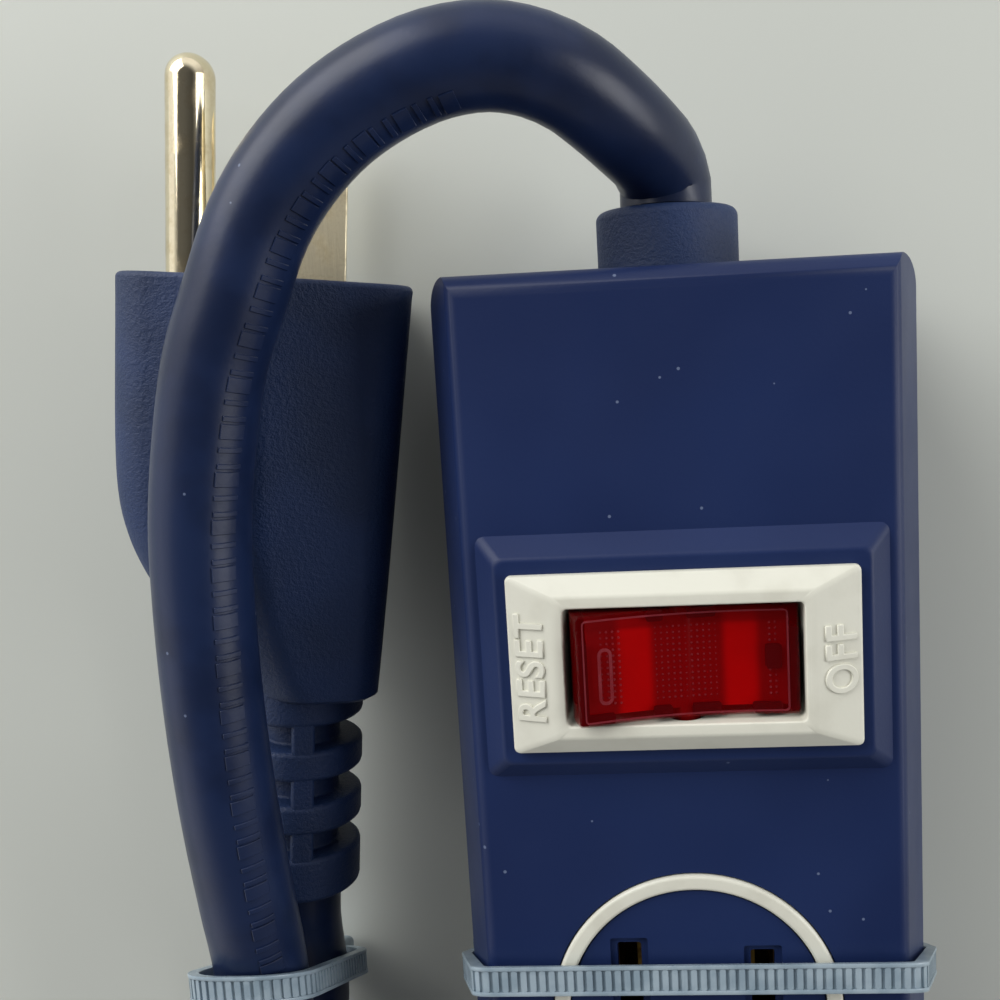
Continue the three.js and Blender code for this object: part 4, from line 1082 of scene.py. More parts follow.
ring_nodes = [f"outlet_ring_{i + 1}" for i in range(OUTLET_COUNT)]
install(soften(outlet_rings()), ring_finish, nodes=ring_nodes)

# %% Screws
HEAD_HEIGHT = 2 * MM
HEAD_ROUND = 0.9 * MM
CROSS_REACH = 2.6 * MM
CROSS_WIDTH = 0.6 * MM
CROSS_DEPTH = 1 * MM
CROSS_CORNER = 0.1 * MM


def shell_screws():
    """A pan-headed screw with a cross recess, from below, and its five copies."""
    top = SCREW_SEAT - FIT
    low = top - HEAD_HEIGHT
    profile = [(0, low, 0), (SCREW_HEAD, low, HEAD_ROUND), (SCREW_HEAD, top, 0), (SCREW_RADIUS, top, 0),
               (SCREW_RADIUS, SCREW_TOP - SCREW_RADIUS, 0), (0, SCREW_TOP, 0)]
    x, y = BOSS_PLACES[0]
    screw = turned("shell_screws", rounded(profile, 4, closed=False), 32, centre=(x, y, 0))
    for width, depth in ((CROSS_REACH, CROSS_WIDTH), (CROSS_WIDTH, CROSS_REACH)):
        bar = rectangle(width, depth, CROSS_CORNER, 1, (x, y))
        cut(screw, prism("recess", bar, "Z", low - OVERRUN, low + CROSS_DEPTH))
    grow(screw, row_tree, {"Count": 2, "Step": (2 * BOSS_X, 0, 0)}, steel_finish)
    return grow(screw, row_tree, {"Count": 3, "Step": (0, BOSS_ROWS[2], 0)}, steel_finish)


screw_nodes = [f"shell_screw_{i + 1}" for i in range(len(BOSS_PLACES))]
install(soften(shell_screws()), steel_finish, nodes=screw_nodes)

# %% [markdown]
# ## The frame of the switch
#
# The white frame is a hipped roof with a window in it. It could be cut from a block, but its rings go
# round in a closed band: up the outside, over the ridge and down the window. So the slopes are flat and
# the window is open without a boolean. Only the holes of the pivots are cut.

# %% Frame of the switch
bezel_low, bezel_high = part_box("switch_bezel")
BEZEL_EDGE = SURROUND_TOP + 0.9 * MM
BEZEL_SIZE = (31.5 * MM, 16.4 * MM)
RIDGE_SIZE = (23.4 * MM, 12.9 * MM)
WINDOW_SIZE = (21.2 * MM, 10.7 * MM)
SKIRT_SIZE = (28.6 * MM, 13.4 * MM)
BEZEL_CORNER = 0.5 * MM
BEZEL_BEVEL = 0.22 * MM
PIVOT_HOLE = 1.6 * MM
PIVOT_REACH = 6.4 * MM


def switch_bezel():
    skirt, rim = bezel_low.z, bezel_high.z
    profile = [(*SKIRT_SIZE, skirt), (*SKIRT_SIZE, SURROUND_TOP), (*BEZEL_SIZE, SURROUND_TOP),
               (*BEZEL_SIZE, BEZEL_EDGE), (*RIDGE_SIZE, rim), (*WINDOW_SIZE, rim), (*WINDOW_SIZE, skirt)]
    bezel = stacked("switch_frame", profile, BEZEL_CORNER, (0, SWITCH_Y), around=True)
    start = (0, SWITCH_Y - PIVOT_REACH, HINGE.z)
    return soften(cut(bezel, rod("pivots", PIVOT_HOLE, 0, 2 * PIVOT_REACH, 32, "Y", start)), BEZEL_BEVEL)


install(switch_bezel(), bezel_finish, nodes=["switch_bezel"])

# %% [markdown]
# ## The words on the switch
#
# Two generic words are raised from the end slopes and tell which side is which. They could be a bump in
# the finish, but raised letters catch the light on their edges. A text object is made mesh, scaled to its
# measured size, and only then laid on the slope.

# %% Letters
LETTER_DEPTH = 0.42 * MM
LETTER_EXTRUDE = 0.05
LETTER_BEVEL = 0.025
LETTER_SPACING = 1.08


def lettering(name, words, length, height, matrix):
    """Words as a mesh of a given size, raised from the plane z 0 of a matrix."""
    font = bpy.data.curves.new(name, "FONT")
    font.body = words
    font.extrude = LETTER_EXTRUDE
    font.bevel_depth = LETTER_BEVEL
    font.bevel_resolution = 2
    font.space_character = LETTER_SPACING
    holder = add_object(name, font)
    mesh = bpy.data.meshes.new_from_object(holder.evaluated_get(bpy.context.evaluated_depsgraph_get()))
    bpy.data.objects.remove(holder)
    low, high = [Vector([pick(v.co[k] for v in mesh.vertices) for k in range(3)]) for pick in (min, max)]
    size = high - low
    fitted = Matrix.Diagonal((length / size.x, height / size.y, LETTER_DEPTH / size.z, 1))
    mesh.transform(matrix @ fitted @ Matrix.Translation(-(low + high) / 2))
    return outwards(add_object(name, mesh))


def slope_matrix(side):
    """The plane of one of the frame's end slopes: X along the strip, Y to the left, as the words read."""
    half, ridge = BEZEL_SIZE[0] / 2, RIDGE_SIZE[0] / 2
    down = Vector((half - ridge, 0, BEZEL_EDGE - bezel_high.z)).normalized()
    up = Vector((-down.x, 0, -side * down.z))
    along = Vector((0, 1, 0))
    turn = Matrix((along, up, along.cross(up))).transposed().to_4x4()
    middle = Vector((side * (half + ridge) / 2, SWITCH_Y, (BEZEL_EDGE + bezel_high.z) / 2))
    return Matrix.Translation(middle) @ turn


reset_word = lettering("word_reset", "RESET", 9.8 * MM, 2.9 * MM, slope_matrix(-1))
off_word = lettering("word_off", "OFF", 6.2 * MM, 3.1 * MM, slope_matrix(1))
install(merge("switch_words", [reset_word, off_word]), bezel_finish)

# %% [markdown]
# ## The rocker
#
# The rocker is two solids: the clear cap, whose face is one smooth hollow between two round ends, and the
# opaque block inside it, whose top follows that hollow. A subdivided box would come near, but the hollow
# is a parabola here, so whatever lies on or under it can ask for its height. Both are drawn level and
# then turned about the hinge by the angle at which the switch rests.

# %% Cap
rocker_matrix = Matrix.Translation(HINGE) @ Matrix.Rotation(ROCKER_TILT, 4, "Y")
ROCKER_REACH = 10.25 * MM
ROCKER_DIP = 2 * MM
ROCKER_HALF = 5 * MM
CAP_ANGLES = (-22.97, 18.2)
CAP_BEVEL = 0.25 * MM
CAP_END = ROCKER_REACH * math.cos(math.radians(CAP_ANGLES[1]))
CAP_RISE = ROCKER_REACH * math.sin(math.radians(CAP_ANGLES[1])) - ROCKER_DIP


def face_level(x, below=0):
    """How high the hollow face of the cap is at a place across the strip, or a surface below it."""
    return ROCKER_DIP - below + CAP_RISE * (x / CAP_END) ** 2


def face_points(end, below=0, steps=16):
    """Points on the hollow face from its right end to its left one."""
    places = [end - 2 * end * i / steps for i in range(steps + 1)]
    return [Vector((x, face_level(x, below))) for x in places]


def rocker_cap():
    right = arc(ROCKER_REACH, *CAP_ANGLES, 12)
    left = [Vector((-p.x, p.y)) for p in reversed(right)]
    outline = [*right, *face_points(CAP_END)[1:-1], *left]
    cap = soften(prism("rocker_cap", outline, "Y", -ROCKER_HALF, ROCKER_HALF), CAP_BEVEL)
    cap.data.transform(rocker_matrix)
    return cap


install(rocker_cap(), lens_finish, "rocker", ["rocker"])

# %% Block
CORE_HALF = 4.3 * MM
CORE_END = 8.9 * MM
CORE_BELOW = 0.8 * MM
CORE_FLOOR = -3.7 * MM
CORE_BEVEL = 0.12 * MM
PIVOT_RADIUS = 1.3 * MM
STUB_REACH = ROCKER_HALF + 1.1 * MM
STEM_RADIUS = 2.6 * MM
STEM_RUN = (-8 * MM, -2 * MM)
STEM_BORE = 1.7 * MM


def rocker_core():
    outline = [(-CORE_END, CORE_FLOOR), (CORE_END, CORE_FLOOR), *face_points(CORE_END, CORE_BELOW)]
    core = prism("rocker_core", outline, "Y", -CORE_HALF, CORE_HALF)
    join(core, rod("stubs", PIVOT_RADIUS, -STUB_REACH, STUB_REACH, 32, "Y"))
    join(core, rod("stem", STEM_RADIUS, *STEM_RUN))
    cut(core, rod("bore", STEM_BORE, STEM_RUN[0] - OVERRUN, STEM_RUN[1] + OVERRUN, 24))
    soften(core, CORE_BEVEL, 2)
    core.data.transform(rocker_matrix)
    return core


install(rocker_core(), core_finish, "rocker")

# %% [markdown]
# ## What shows in the cap
#
# Dark stops stand between the block and the cap, a grid of fine dots lies on the block, and two thin lines
# run round on the face: a pill that marks the switch, and a painted highlight along the cap's rounded edge.
# The dots' pale pink is partly painted highlight as well. A pattern in the finish could draw all of it, but
# then it wouldn't shift when the view moves, as things at different depths do. Places are in millimetres
# from the rocker's middle.

# %% Stops under the cap
STOPS = [(-3.5, -2, 3.9, 4.9), (0.1, 2.7, 4, 4.9), (-3.1, -1.4, -4.9, -3.9), (0.4, 3, -4.9, -3.9),
         (5.8, 8.4, -4.9, -4), (-9.2, -6.6, -4.9, -4.1), (7, 8.4, -0.9, 1.3), (-9.8, -8.9, -4.9, 2.5),
         (9, 9.9, -4.8, 2.9)]
STOP_CORNER = 0.25 * MM
STOP_FOOT = -2 * MM
STOP_BELOW = 0.3 * MM


def rocker_stops():
    """The dark blocks near the edges, which reach almost to the face of the cap."""
    blocks = []
    for left, right, near, far in STOPS:
        centre = Vector((left + right, near + far)) / 2 * MM
        outline = rectangle((right - left) * MM, (far - near) * MM, STOP_CORNER, 3, centre)
        blocks.append(prism("stop", outline, "Z", STOP_FOOT, face_level(centre.x, STOP_BELOW)))
    return merge("rocker_stops", blocks)


# %% Dots and lines of the rocker
DOT_PITCH = 0.54 * MM
DOT_RADIUS = 0.13 * MM
DOT_ROWS = 13
DOT_GRIDS = ((-2.7 * MM, 11), (-8.7 * MM, 6), (7.4 * MM, 3))
LINE_WIDTH = 0.14 * MM
LINE_RISE = 0.06 * MM


def dots(x, columns):
    """A grid of low domes on the core, from a place across it."""
    level = face_level(x + (columns - 1) / 2 * DOT_PITCH, CORE_BELOW)
    dome = [(0, DOT_RADIUS), (DOT_RADIUS * 0.7, DOT_RADIUS * 0.7), (DOT_RADIUS, 0), (0, -DOT_RADIUS)]
    dot = turned("dots", dome, 6, centre=(x, -(DOT_ROWS - 1) / 2 * DOT_PITCH, level))
    grow(dot, row_tree, {"Count": columns, "Step": (DOT_PITCH, 0, 0)}, pink_and_highlight_finish)
    return grow(dot, row_tree, {"Count": DOT_ROWS, "Step": (0, DOT_PITCH, 0)}, pink_and_highlight_finish)


def face_line(low, high, radius, width, steps=8):
    """A closed raised line on the hollow face, along a rounded rectangle between two corners."""
    centre, size = (Vector(low) + Vector(high)) / 2, Vector(high) - Vector(low)
    rings = []
    for inset, rise in ((0, -LINE_RISE), (width, -LINE_RISE), (width, LINE_RISE), (0, LINE_RISE)):
        outline = rectangle(size.x - 2 * inset, size.y - 2 * inset, radius - inset, 4, centre)
        ring = []
        for start, stop in zip(outline, [*outline[1:], outline[0]]):
            ring += [start.lerp(stop, i / steps) for i in range(steps)]
        rings.append([Vector((p.x, p.y, face_level(p.x) + rise)) for p in ring])
    return new_piece("line", *skin(rings, around=True))


# The line round the face's edge is a painted highlight: a pale raised line that stands for the light on the cap's
# rounded edge.
edge_highlight_line = face_line((-9.3 * MM, -4.7 * MM), (8.9 * MM, 4.6 * MM), 0.4 * MM, LINE_WIDTH)
pill_line = face_line((-8 * MM, -3.1 * MM), (-6.7 * MM, 2 * MM), 0.6 * MM, 2 * LINE_WIDTH)
# The dots are real domes; their pale pink finish is partly painted highlight.
dot_grid = merge("rocker_dots", [dots(x, columns) for x, columns in DOT_GRIDS])
rocker_lines = merge("rocker_lines", [edge_highlight_line, pill_line])
for piece, finish in ((rocker_stops(), stop_finish), (dot_grid, pink_and_highlight_finish), (rocker_lines, pink_and_highlight_finish)):
    piece.data.transform(rocker_matrix)
    install(soften(piece), finish, "rocker")

# %% [markdown]
# ## The plug
#
# The plug lies on its side. Its body is a loft along its length through sections that grow slimmer towards
# the cord. A sculpted block could have any shape, but here the few shares that say how slim go through
# the same smooth curve as the cord's route. Its front has a pocket for the core that holds the blades.

# %% Plug body
PLUG_RIGHT = 9.8 * MM
PLUG_LOBE = 18.8 * MM
PLUG_HALF = 10.5 * MM
PLUG_SHOULDER = 5 * MM
PLUG_TAPER = 2.4 * MM
PLUG_EDGE = 3.5 * MM
SHOULDER_ROUND = 4.5 * MM
LOBE_ROUND = 5 * MM
PLUG_FRONT_ROUND = 0.6 * MM
PLUG_BACK_INSET = 0.8 * MM
PLUG_BACK_RISE = 0.5 * MM
LOBE_FLAT_SHARE = 0.48
POCKET_DEPTH = 12 * MM
POCKET_WALL = 2.6 * MM
POCKET_EDGE = 0.3 * MM
PLUG_SHARES = [(0, 1, 1), (0.5, 1, 0.96), (0.61, 0.95, 0.94), (0.71, 0.85, 0.92), (0.81, 0.69, 0.88),
               (0.91, 0.49, 0.84), (1, 0.3, 0.78)]
SHARE_SPACING = 0.03


def plug_ring(share, inset=0, y=None):
    """The plug's outline at a share of its length, set in all round."""
    length_share, lobe_share, thick_share = share
    half = PLUG_HALF * thick_share - inset
    right = PLUG_RIGHT - PLUG_TAPER * length_share - inset
    left = -PLUG_LOBE * lobe_share + inset
    shoulder = -PLUG_SHOULDER * lobe_share
    flat, lobe_round = half * LOBE_FLAT_SHARE, LOBE_ROUND * lobe_share
    edge = PLUG_EDGE - inset
    corners = [(right, -half, edge), (right, half, edge), (shoulder, half, SHOULDER_ROUND),
               (left, flat, lobe_round), (left, -flat, lobe_round), (shoulder, -half, SHOULDER_ROUND)]
    level = -PLUG_LENGTH * length_share if y is None else y
    return [Vector((p.x, level, p.y)) for p in rounded(corners, 6)]


def pocket_rings(inset, depth, edge):
    """The wall of the pocket, or of the core in it, from its floor to an edge at the plug's face."""
    front = PLUG_SHARES[0]
    return [plug_ring(front, inset, -depth), plug_ring(front, inset, -POCKET_EDGE),
            plug_ring(front, inset + edge, 0)]


def plug_body():
    rings = pocket_rings(POCKET_WALL, POCKET_DEPTH, -POCKET_EDGE)
    for p in arc(PLUG_FRONT_ROUND, 90, 0, 6):
        rings.append(plug_ring(PLUG_SHARES[0], PLUG_FRONT_ROUND - p.x, p.y - PLUG_FRONT_ROUND))
    shares = smooth_path([Vector(share) for share in PLUG_SHARES], SHARE_SPACING)
    rings += [plug_ring(share) for share in shares if share.x * PLUG_LENGTH > 2 * PLUG_FRONT_ROUND]
    rings.append(plug_ring(PLUG_SHARES[-1], PLUG_BACK_INSET, -PLUG_LENGTH - PLUG_BACK_RISE))
    return new_piece("plug_moulding", *skin(rings))


# %% [markdown]
# ## The strain relief
#
# Behind the plug the vinyl goes on as a ribbed sleeve that bends with the cord. Separate discs on a rod
# would look alike, but the real one is a single moulding, so one profile with its slots is turned, and a
# spine joins its ribs.

# %% Strain relief
RELIEF_RADIUS = 6.6 * MM
RELIEF_CORE = 4.1 * MM
RELIEF_EDGE = 0.6 * MM
RELIEF_ROOT = 2 * MM
SLOT_ROUND = 0.3 * MM
SPINE_WIDTH = 2.4 * MM
SPINE_SHY = 0.3 * MM
SPINE_CORNER = 0.5 * MM
SPINE_ROOT = 1 * MM


def strain_relief():
    y = -PLUG_LENGTH
    profile = [(0, y + RELIEF_ROOT, 0), (RELIEF_RADIUS, y + RELIEF_ROOT, 0)]
    for i, length in enumerate(RELIEF_RIBS):
        if i:
            profile += [(RELIEF_CORE, y, SLOT_ROUND), (RELIEF_CORE, y - RELIEF_SLOT, SLOT_ROUND)]
            y -= RELIEF_SLOT
            profile.append((RELIEF_RADIUS, y, RELIEF_EDGE))
        y -= length
        profile.append((RELIEF_RADIUS, y, RELIEF_EDGE))
    profile.append((0, y, 0))
    relief = turned("relief", rounded(profile, 3, closed=False), 48, "Y", (RELIEF_OFFSET, 0, 0))
    spine = rectangle(SPINE_WIDTH, 2 * RELIEF_RADIUS - SPINE_SHY, SPINE_CORNER, 3, (RELIEF_OFFSET, 0))
    return join(relief, prism("spine", spine, "Y", y + RELIEF_EDGE, -PLUG_LENGTH + SPINE_ROOT))


moulding = soften(join(plug_body(), strain_relief()))
moulding.data.transform(plug_matrix)
install(moulding, vinyl_finish, nodes=["plug_body"])

# %% [markdown]
# ## Plug core, blades and pin
#
# The core is moulded first and grips the metal, so it is a piece of its own with a socket for each. The
# blades are flat bars with a slanted tip and a round hole, and the pin is a turned rod with a domed end.
# They could start at the plug's face, but then nothing would hold them.

# %% Core, blades and pin
BLADE_WIDTH = 6.35 * MM
BLADE_THICKNESS = 1.5 * MM
BLADE_LENGTH = 17.9 * MM
BLADE_SINK = 9 * MM
BLADE_BEVEL = 0.2 * MM
SOCKET_CORNER = 0.3 * MM
PIN_RADIUS = 2.4 * MM
PIN_LENGTH = 21.8 * MM
PIN_X = -11.9 * MM


def plug_core():
    core = new_piece("plug_insert", *skin(pocket_rings(POCKET_WALL + FIT, POCKET_DEPTH - FIT, POCKET_EDGE)))
    width, thickness = BLADE_WIDTH + 2 * FIT, BLADE_THICKNESS + 2 * FIT
    outlines = [rectangle(width, thickness, SOCKET_CORNER, 2, (0, z)) for z in (-SLOT_X, SLOT_X)]
    outlines.append(disc(PIN_RADIUS + FIT, (PIN_X, 0)))
    sockets = [prism("socket", outline, "Y", -BLADE_SINK - FIT, OVERRUN) for outline in outlines]
    return soften(cut(core, merge("sockets", sockets)))


def plug_blade(name, z):
    half, tip = BLADE_THICKNESS / 2, BLADE_THICKNESS / 4
    slant = BLADE_LENGTH - BLADE_THICKNESS
    side = [(-BLADE_SINK, z - half), (slant, z - half), (BLADE_LENGTH, z - tip), (BLADE_LENGTH, z + tip),
            (slant, z + half), (-BLADE_SINK, z + half)]
    blade = prism(name, side, "X", -BLADE_WIDTH / 2, BLADE_WIDTH / 2)
    hole = disc(BLADE_THICKNESS, (0, slant - BLADE_WIDTH / 2))
    return soften(cut(blade, prism("hole", hole, "Z", z - 2 * half, z + 2 * half)), BLADE_BEVEL)


def ground_pin():
    shoulder = PIN_LENGTH - PIN_RADIUS
    dome = [(p.x, p.y + shoulder) for p in arc(PIN_RADIUS, 0, 88, 12)]
    profile = [(0, -BLADE_SINK), (PIN_RADIUS, -BLADE_SINK), *dome, (0, PIN_LENGTH)]
    return soften(turned("plug_ground_pin", profile, 64, "Y", (PIN_X, 0, 0)))


for piece, finish, slot, node in (
        (plug_core(), vinyl_finish, "cord", "plug_core"),
        (plug_blade("blade_line", -SLOT_X), blade_finish, "nickel", "line_blade"),
        (plug_blade("blade_neutral", SLOT_X), blade_finish, "nickel", "neutral_blade"),
        (ground_pin(), pin_finish, "nickel", "ground_pin")):
    piece.data.transform(plug_matrix)
    install(piece, finish, nodes=[node])

# %% [markdown]
# ## The collar
#
# The collar snaps into the housing's end wall and guides the cord. It is turned, as its mould is. Its neck
# fits the bore of the shells, and a lip on each side of the wall keeps it there.

# %% Collar
collar_low, collar_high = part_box("cord_collar")
COLLAR_RADIUS = 7.1 * MM
LIP_ROUND = 0.3 * MM
RIM_ROUND = 0.9 * MM


def cord_collar():
    inside, lip, rim = -END_WALL - FIT, collar_low.y - CORD_END, collar_high.y - CORD_END
    profile = [(0, lip, 0), (COLLAR_RADIUS, lip, LIP_ROUND), (COLLAR_RADIUS, inside, 0),
               (NECK_RADIUS, inside, 0), (NECK_RADIUS, FIT, 0), (COLLAR_RADIUS, FIT, 0), (COLLAR_RADIUS, rim, RIM_ROUND),
               (CORD_RADIUS, rim, 0), (0, rim, 0)]
    return turned("cord_sleeve", rounded(profile, 5, closed=False), 64, "Y", (0, CORD_END, CORD_LEVEL))


install(soften(cord_collar()), vinyl_finish, nodes=["cord_collar"])

# %% [markdown]
# ## Copies along a path
#
# The bars on the cord and the ribs of the ties follow a path. Placing each by hand would be slow, and an
# array along a curve would bend them. So a second tree spaces points evenly on a path, and sets a copy on
# each, turned to the path and to the side that an attribute of the path gives.

# %% A tree for paths
along_tree, entry = new_tree("along", [("Shape", "Object"), ("Pitch", "Float")])
line = add_node(along_tree, "GeometryNodeMeshToCurve", None, {"Mesh": entry["Geometry"]})
even = add_node(along_tree, "GeometryNodeResampleCurve", {"mode": "LENGTH"},
                {"Curve": line, "Length": entry["Pitch"]})
shape = add_node(along_tree, "GeometryNodeObjectInfo", None, {"Object": entry["Shape"]}, "Geometry")
tangent = add_node(along_tree, "GeometryNodeInputTangent")
outward = add_node(along_tree, "GeometryNodeInputNamedAttribute", {"data_type": "FLOAT_VECTOR"},
                   {"Name": "outward"})
ahead = add_node(along_tree, "FunctionNodeAlignRotationToVector", {"axis": "X"}, {"Vector": tangent})
turn = add_node(along_tree, "FunctionNodeAlignRotationToVector", {"axis": "Z", "pivot_axis": "X"},
                {"Rotation": ahead, "Vector": outward})
copies = add_node(along_tree, "GeometryNodeInstanceOnPoints", None,
                  {"Points": even, "Instance": shape, "Rotation": turn})
close_tree(along_tree, copies, entry["Material"])


def copies_along(name, path, ways, shape, pitch, finish, closed=False):
    """Copies of a shape, which is used up: their X runs along the path and their Z points each way."""
    mesh = bpy.data.meshes.new(name)
    edges = [(i, i + 1) for i in range(len(path) - 1)]
    mesh.from_pydata(path, [*edges, (len(path) - 1, 0)] if closed else edges, [])
    outward = mesh.attributes.new("outward", "FLOAT_VECTOR", "POINT")
    outward.data.foreach_set("vector", [c for way in ways for c in way])
    piece = grow(add_object(name, mesh), along_tree, {"Shape": shape, "Pitch": pitch}, finish)
    bpy.data.objects.remove(shape)
    return piece


print("path tree", len(along_tree.nodes), "nodes")

# %% [markdown]
# ## Marks on the cord
#
# Plain raised bars run along the cord in groups of one broad and two narrow ones. A bump in the finish
# would be less work, but real bars have edges that catch the light from every side. The row starts near
# the collar on the inside of the arch and turns slowly to the side that faces up.

# %% Marks
MARK_PITCH = 4.5 * MM
MARK_LENGTH = 2.3 * MM
MARK_RISE = 0.17 * MM
MARK_BEVEL = 0.06 * MM
MARK_ROWS = ((1.4 * MM, 20), (0.5 * MM, 21), (0.5 * MM, 22))
MARK_TURN = (math.radians(62), math.radians(38))
MARK_TWIST = 90 * MM


def mark(width):
    """A bar across the cord, bent to its surface."""
    half = math.degrees(MARK_LENGTH / CORD_RADIUS / 2)
    top = arc(CORD_RADIUS + MARK_RISE, 90 - half, 90 + half, 4)
    foot = arc(CORD_RADIUS - MARK_RISE, 90 + half, 90 - half, 4)
    return soften(prism("mark", [*top, *foot], "X", -width / 2, width / 2), MARK_BEVEL, 1)


def mark_row(width, start):
    """A row of marks from a point of the path, on the side that faces the strip."""
    path, ways, travelled = cord_path[start:], [], 0
    for before, after in zip(path, [*path[1:], 2 * path[-1] - path[-2]]):
        ahead = (after - before).normalized()
        left = Vector((0, 0, 1)).cross(ahead).normalized()
        angle = MARK_TURN[0] + (MARK_TURN[1] - MARK_TURN[0]) * min(1, travelled / MARK_TWIST)
        ways.append(ahead.cross(left) * math.cos(angle) + left * math.sin(angle))
        travelled += (after - before).length
    return copies_along("marks", path, ways, mark(width), MARK_PITCH, cord_finish)


marks = merge("cord_marks", [mark_row(width, start) for width, start in MARK_ROWS])
install(marks, cord_finish)

# %% [markdown]
# ## Cable ties
#
# Each tie is a strap with a raised border on both sides, which the locking head closes. Between the
# borders lie ribs that its teeth catch: one small block, set along the loop by the tree for paths. A
# texture could draw the ribs, but they show in the strap's outline. Two of the straps sit askew.

# %% Straps
TIE_THICKNESS = 1.1 * MM
TIE_WIDTH = 3 * MM
TIE_BORDER = 0.45 * MM
TIE_CHANNEL = 0.3 * MM
TIE_PITCH = 0.9 * MM
TIE_BEVEL = 0.1 * MM
TIE_LEAN = math.radians(24)
RIB_SHARES = (0.62, -1 / 3, 0.8)
HEAD_THICKNESS = 3.4 * MM
HEAD_WIDTH = 5 * MM
HEAD_LENGTH = 5.5 * MM
HEAD_CORNER = 0.7 * MM
HEAD_BEVEL = 0.35 * MM


def tie_rib():
    """A small block: the shares give its length of the pitch, and its foot and top of the channel."""
    length, foot, top = RIB_SHARES
    outline = rectangle(TIE_PITCH * length, TIE_WIDTH - 2 * TIE_BORDER, TIE_BEVEL, 1)
    return prism("rib", outline, "Z", TIE_CHANNEL * foot, TIE_CHANNEL * top)


def strap(name, loop_at, y, head_low, head_high):
    """A closed strap whose outline, for a growth, comes from loop_at, with its ribs and its head."""
    half, inner_half = TIE_WIDTH / 2, TIE_WIDTH / 2 - TIE_BORDER
    channel = TIE_THICKNESS - TIE_CHANNEL
    band = [(0, -half), (TIE_THICKNESS, -half), (TIE_THICKNESS, -inner_half), (channel, -inner_half),
            (channel, inner_half), (TIE_THICKNESS, inner_half), (TIE_THICKNESS, half), (0, half)]
    rings = [[Vector((p.x, y + side, p.y)) for p in loop_at(out)] for out, side in band]
    body = soften(new_piece(name, *skin(rings, around=True)), TIE_BEVEL, 2)
    inner, outer = [[Vector((p.x, y, p.y)) for p in loop_at(out)] for out in (channel, TIE_THICKNESS)]
    ways = [b - a for a, b in zip(inner, outer)]
    ribs = copies_along("ribs", inner, ways, tie_rib(), TIE_PITCH, tie_finish, closed=True)
    centre = ((head_low[0] + head_high[0]) / 2, y)
    outline = rectangle(head_high[0] - head_low[0], HEAD_WIDTH, HEAD_CORNER, 4, centre)
    head = soften(prism("head", outline, "Z", head_low[1], head_high[1]), HEAD_BEVEL)
    return merge(name, [body, ribs, head])


def lean(piece, front):
    """Lets a strap sit askew: below its front stretch it leans towards the outlets."""
    slant = Matrix.Identity(4)
    slant[1][2] = math.tan(TIE_LEAN)
    piece.data.transform(Matrix.Translation((0, 0, front)) @ slant @ Matrix.Translation((0, 0, -front)))
    return piece


def box_loop(low, high, radius):
    """The outline of a round-cornered loop in X and Z, for any growth."""
    centre, size = (low + high) / 2, high - low
    return lambda out: rectangle(size.x + 2 * out, size.y + 2 * out, radius + out, 8, centre)


LOOP_ROUND = 1 * MM
LOOP_WAIST_ROUND = 2 * MM


def housing_loop(out):
    """The outline round the housing, just clear of it and of the rings."""
    face, waist, back = [width / 2 + FIT + out for width in (FACE_WIDTH, WAIST_WIDTH, BACK_WIDTH)]
    top, foot = FACE_LEVEL + RING_PROUD + FIT + out, FOOT_LEVEL - FIT - out
    seam, edge = (SEAM_TOP + SEAM_BOTTOM) / 2, LOOP_ROUND + out
    corners = [(waist, seam, LOOP_WAIST_ROUND), (face, top, edge), (-face, top, edge),
               (-waist, seam, LOOP_WAIST_ROUND), (-back, foot, edge), (back, foot, edge)]
    return rounded(corners, 8)


# %% Ties
half_head = HEAD_LENGTH / 2

CORD_TIE_Y = CORD_END - 68 * MM
CORD_TIE_LOW, CORD_TIE_HIGH = Vector((-50.7, 4.8)) * MM, Vector((-39.9, 29.8)) * MM
x, foot = (CORD_TIE_LOW.x + CORD_TIE_HIGH.x) / 2, CORD_TIE_LOW.y
cord_tie = strap("tie_of_cord", box_loop(CORD_TIE_LOW, CORD_TIE_HIGH, CORD_RADIUS), CORD_TIE_Y,
                 (x - half_head, foot - HEAD_THICKNESS), (x + half_head, foot))
install(lean(cord_tie, CORD_TIE_HIGH.y), tie_finish, nodes=["cord_tie"])

HANK_TIE_Y = CORD_END + (HANK_TOP + HANK_BOTTOM) / 2
HANK_TIE_LOW, HANK_TIE_HIGH = Vector((-73.9, 1.25)) * MM, Vector((-48.1, 26)) * MM
x, level = HANK_TIE_LOW.x, HANK_LEVELS[2] + CORD_RADIUS
hank_tie = strap("tie_of_hank", box_loop(HANK_TIE_LOW, HANK_TIE_HIGH, FIT), HANK_TIE_Y,
                 (x - HEAD_THICKNESS, level - half_head), (x, level + half_head))
install(hank_tie, tie_finish, nodes=["hank_tie"])

HOUSING_TIE_Y = CORD_END - 67.05 * MM
x, level = -BACK_WIDTH / 2 - FIT, FACE_LEVEL / 4
housing_tie = strap("tie_of_housing", housing_loop, HOUSING_TIE_Y,
                    (x - HEAD_THICKNESS, level - half_head), (x, level + half_head))
install(lean(housing_tie, FACE_LEVEL), tie_finish, nodes=["housing_tie"])

# %% [markdown]

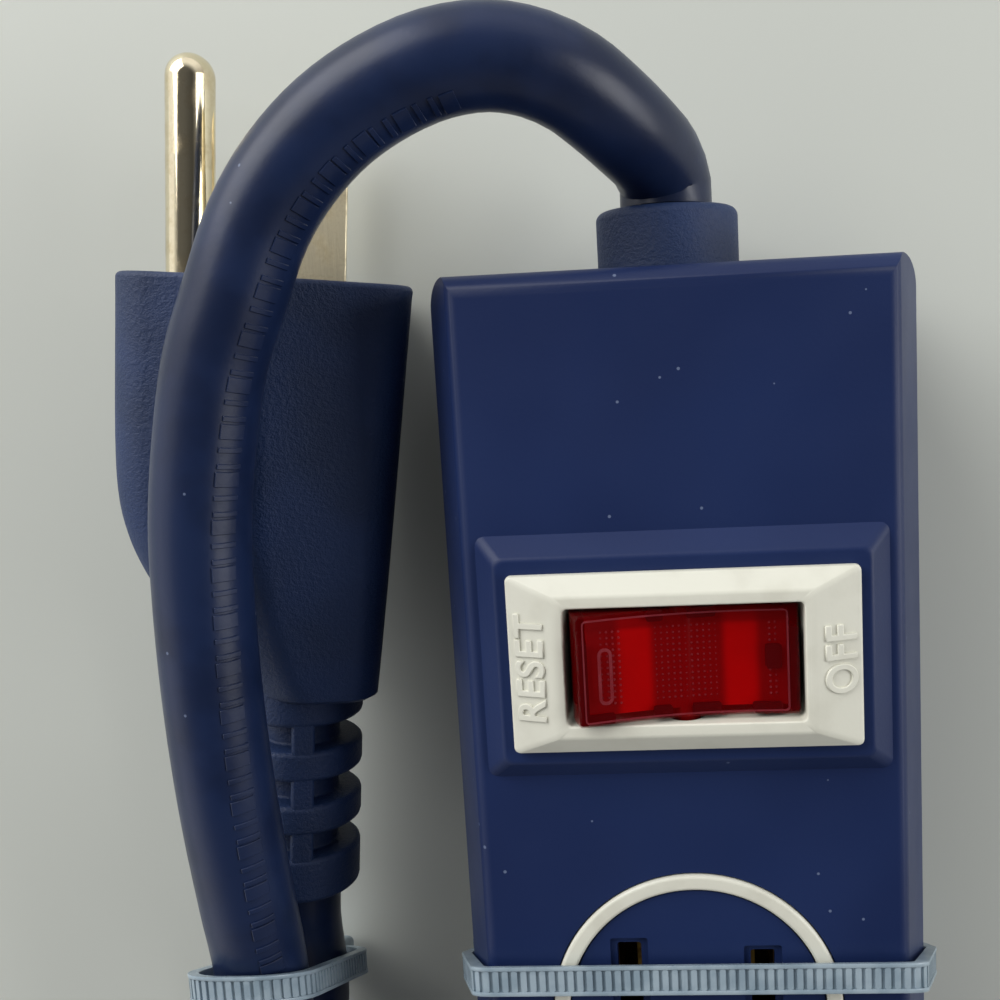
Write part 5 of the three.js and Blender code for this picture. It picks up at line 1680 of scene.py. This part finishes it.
# %% [markdown]
# ## Floor and lamps
#
# A pale floor, a large soft lamp on the left and behind, and a weaker one on the right light the strip as
# it was photographed. A small hard lamp would be simpler, but its shadows would have edges that the
# photograph doesn't have.

# %% Floor and lamps
FLOOR_HALF = 4
TARGET = Vector((0, 0.09, 0.02))

floor_finish = Finish("floor_paper", linear(208, 211, 203), 0.6)
floor_finish.set("Roughness", 0.55 + 0.1 * floor_finish.noise(40 * MM, 2))
corners = [(x * FLOOR_HALF, y * FLOOR_HALF, 0) for x, y in ((-1, -1), (1, -1), (1, 1), (-1, 1))]
floor = new_piece("floor", corners, [(0, 1, 2, 3)])
paint(floor, floor_finish)


def lamp(name, place, size, power):
    data = bpy.data.lights.new(name, "AREA")
    data.size = size
    data.energy = power
    aim = (TARGET - Vector(place)).to_track_quat("-Z", "Y").to_matrix().to_4x4()
    add_object(name, data).matrix_world = Matrix.Translation(place) @ aim


lamp("key", (-0.42, 0.56, 0.34), size=0.55, power=4.1)
lamp("fill", (0.6, 0.12, 0.28), size=0.4, power=2.5)
print("lamps", len(bpy.data.lights))

# %% [markdown]
# ## Sky
#
# The sky is darker overhead and towards the near right side, because a camera this near stands in the
# light. It could be one grey, but this is what makes the gap beside the strip dark and draws a dark band
# on the pin. What the camera sees of it directly stays an even grey.

# %% Sky
BEHIND = 0.5
world = bpy.data.worlds.new("studio")
world.use_nodes = True
sky = world.node_tree
backdrop = sky.nodes["Background"]
backdrop.inputs["Color"].default_value = (1, 1, 1, 1)
way_x, way_y, way_z = add_node(sky, "ShaderNodeTexCoord", output="Generated").axes()
by_height = way_z.ranged(0.45, 0.85, 0.9, 0.1)
by_side = (way_y - way_x).ranged(-1.2, 0.5, 0.25, 1.15)
seen = add_node(sky, "ShaderNodeLightPath", output="Is Camera Ray")
strength = add_node(sky, "ShaderNodeMix", {"data_type": "FLOAT"},
                    {"Factor_Float": seen, "A_Float": by_height * by_side, "B_Float": BEHIND}, "Result_Float")
fill(sky, backdrop.inputs["Strength"], strength)
bpy.context.scene.world = world
bpy.context.scene.view_settings.view_transform = "Standard"
print("sky", len(sky.nodes), "nodes")
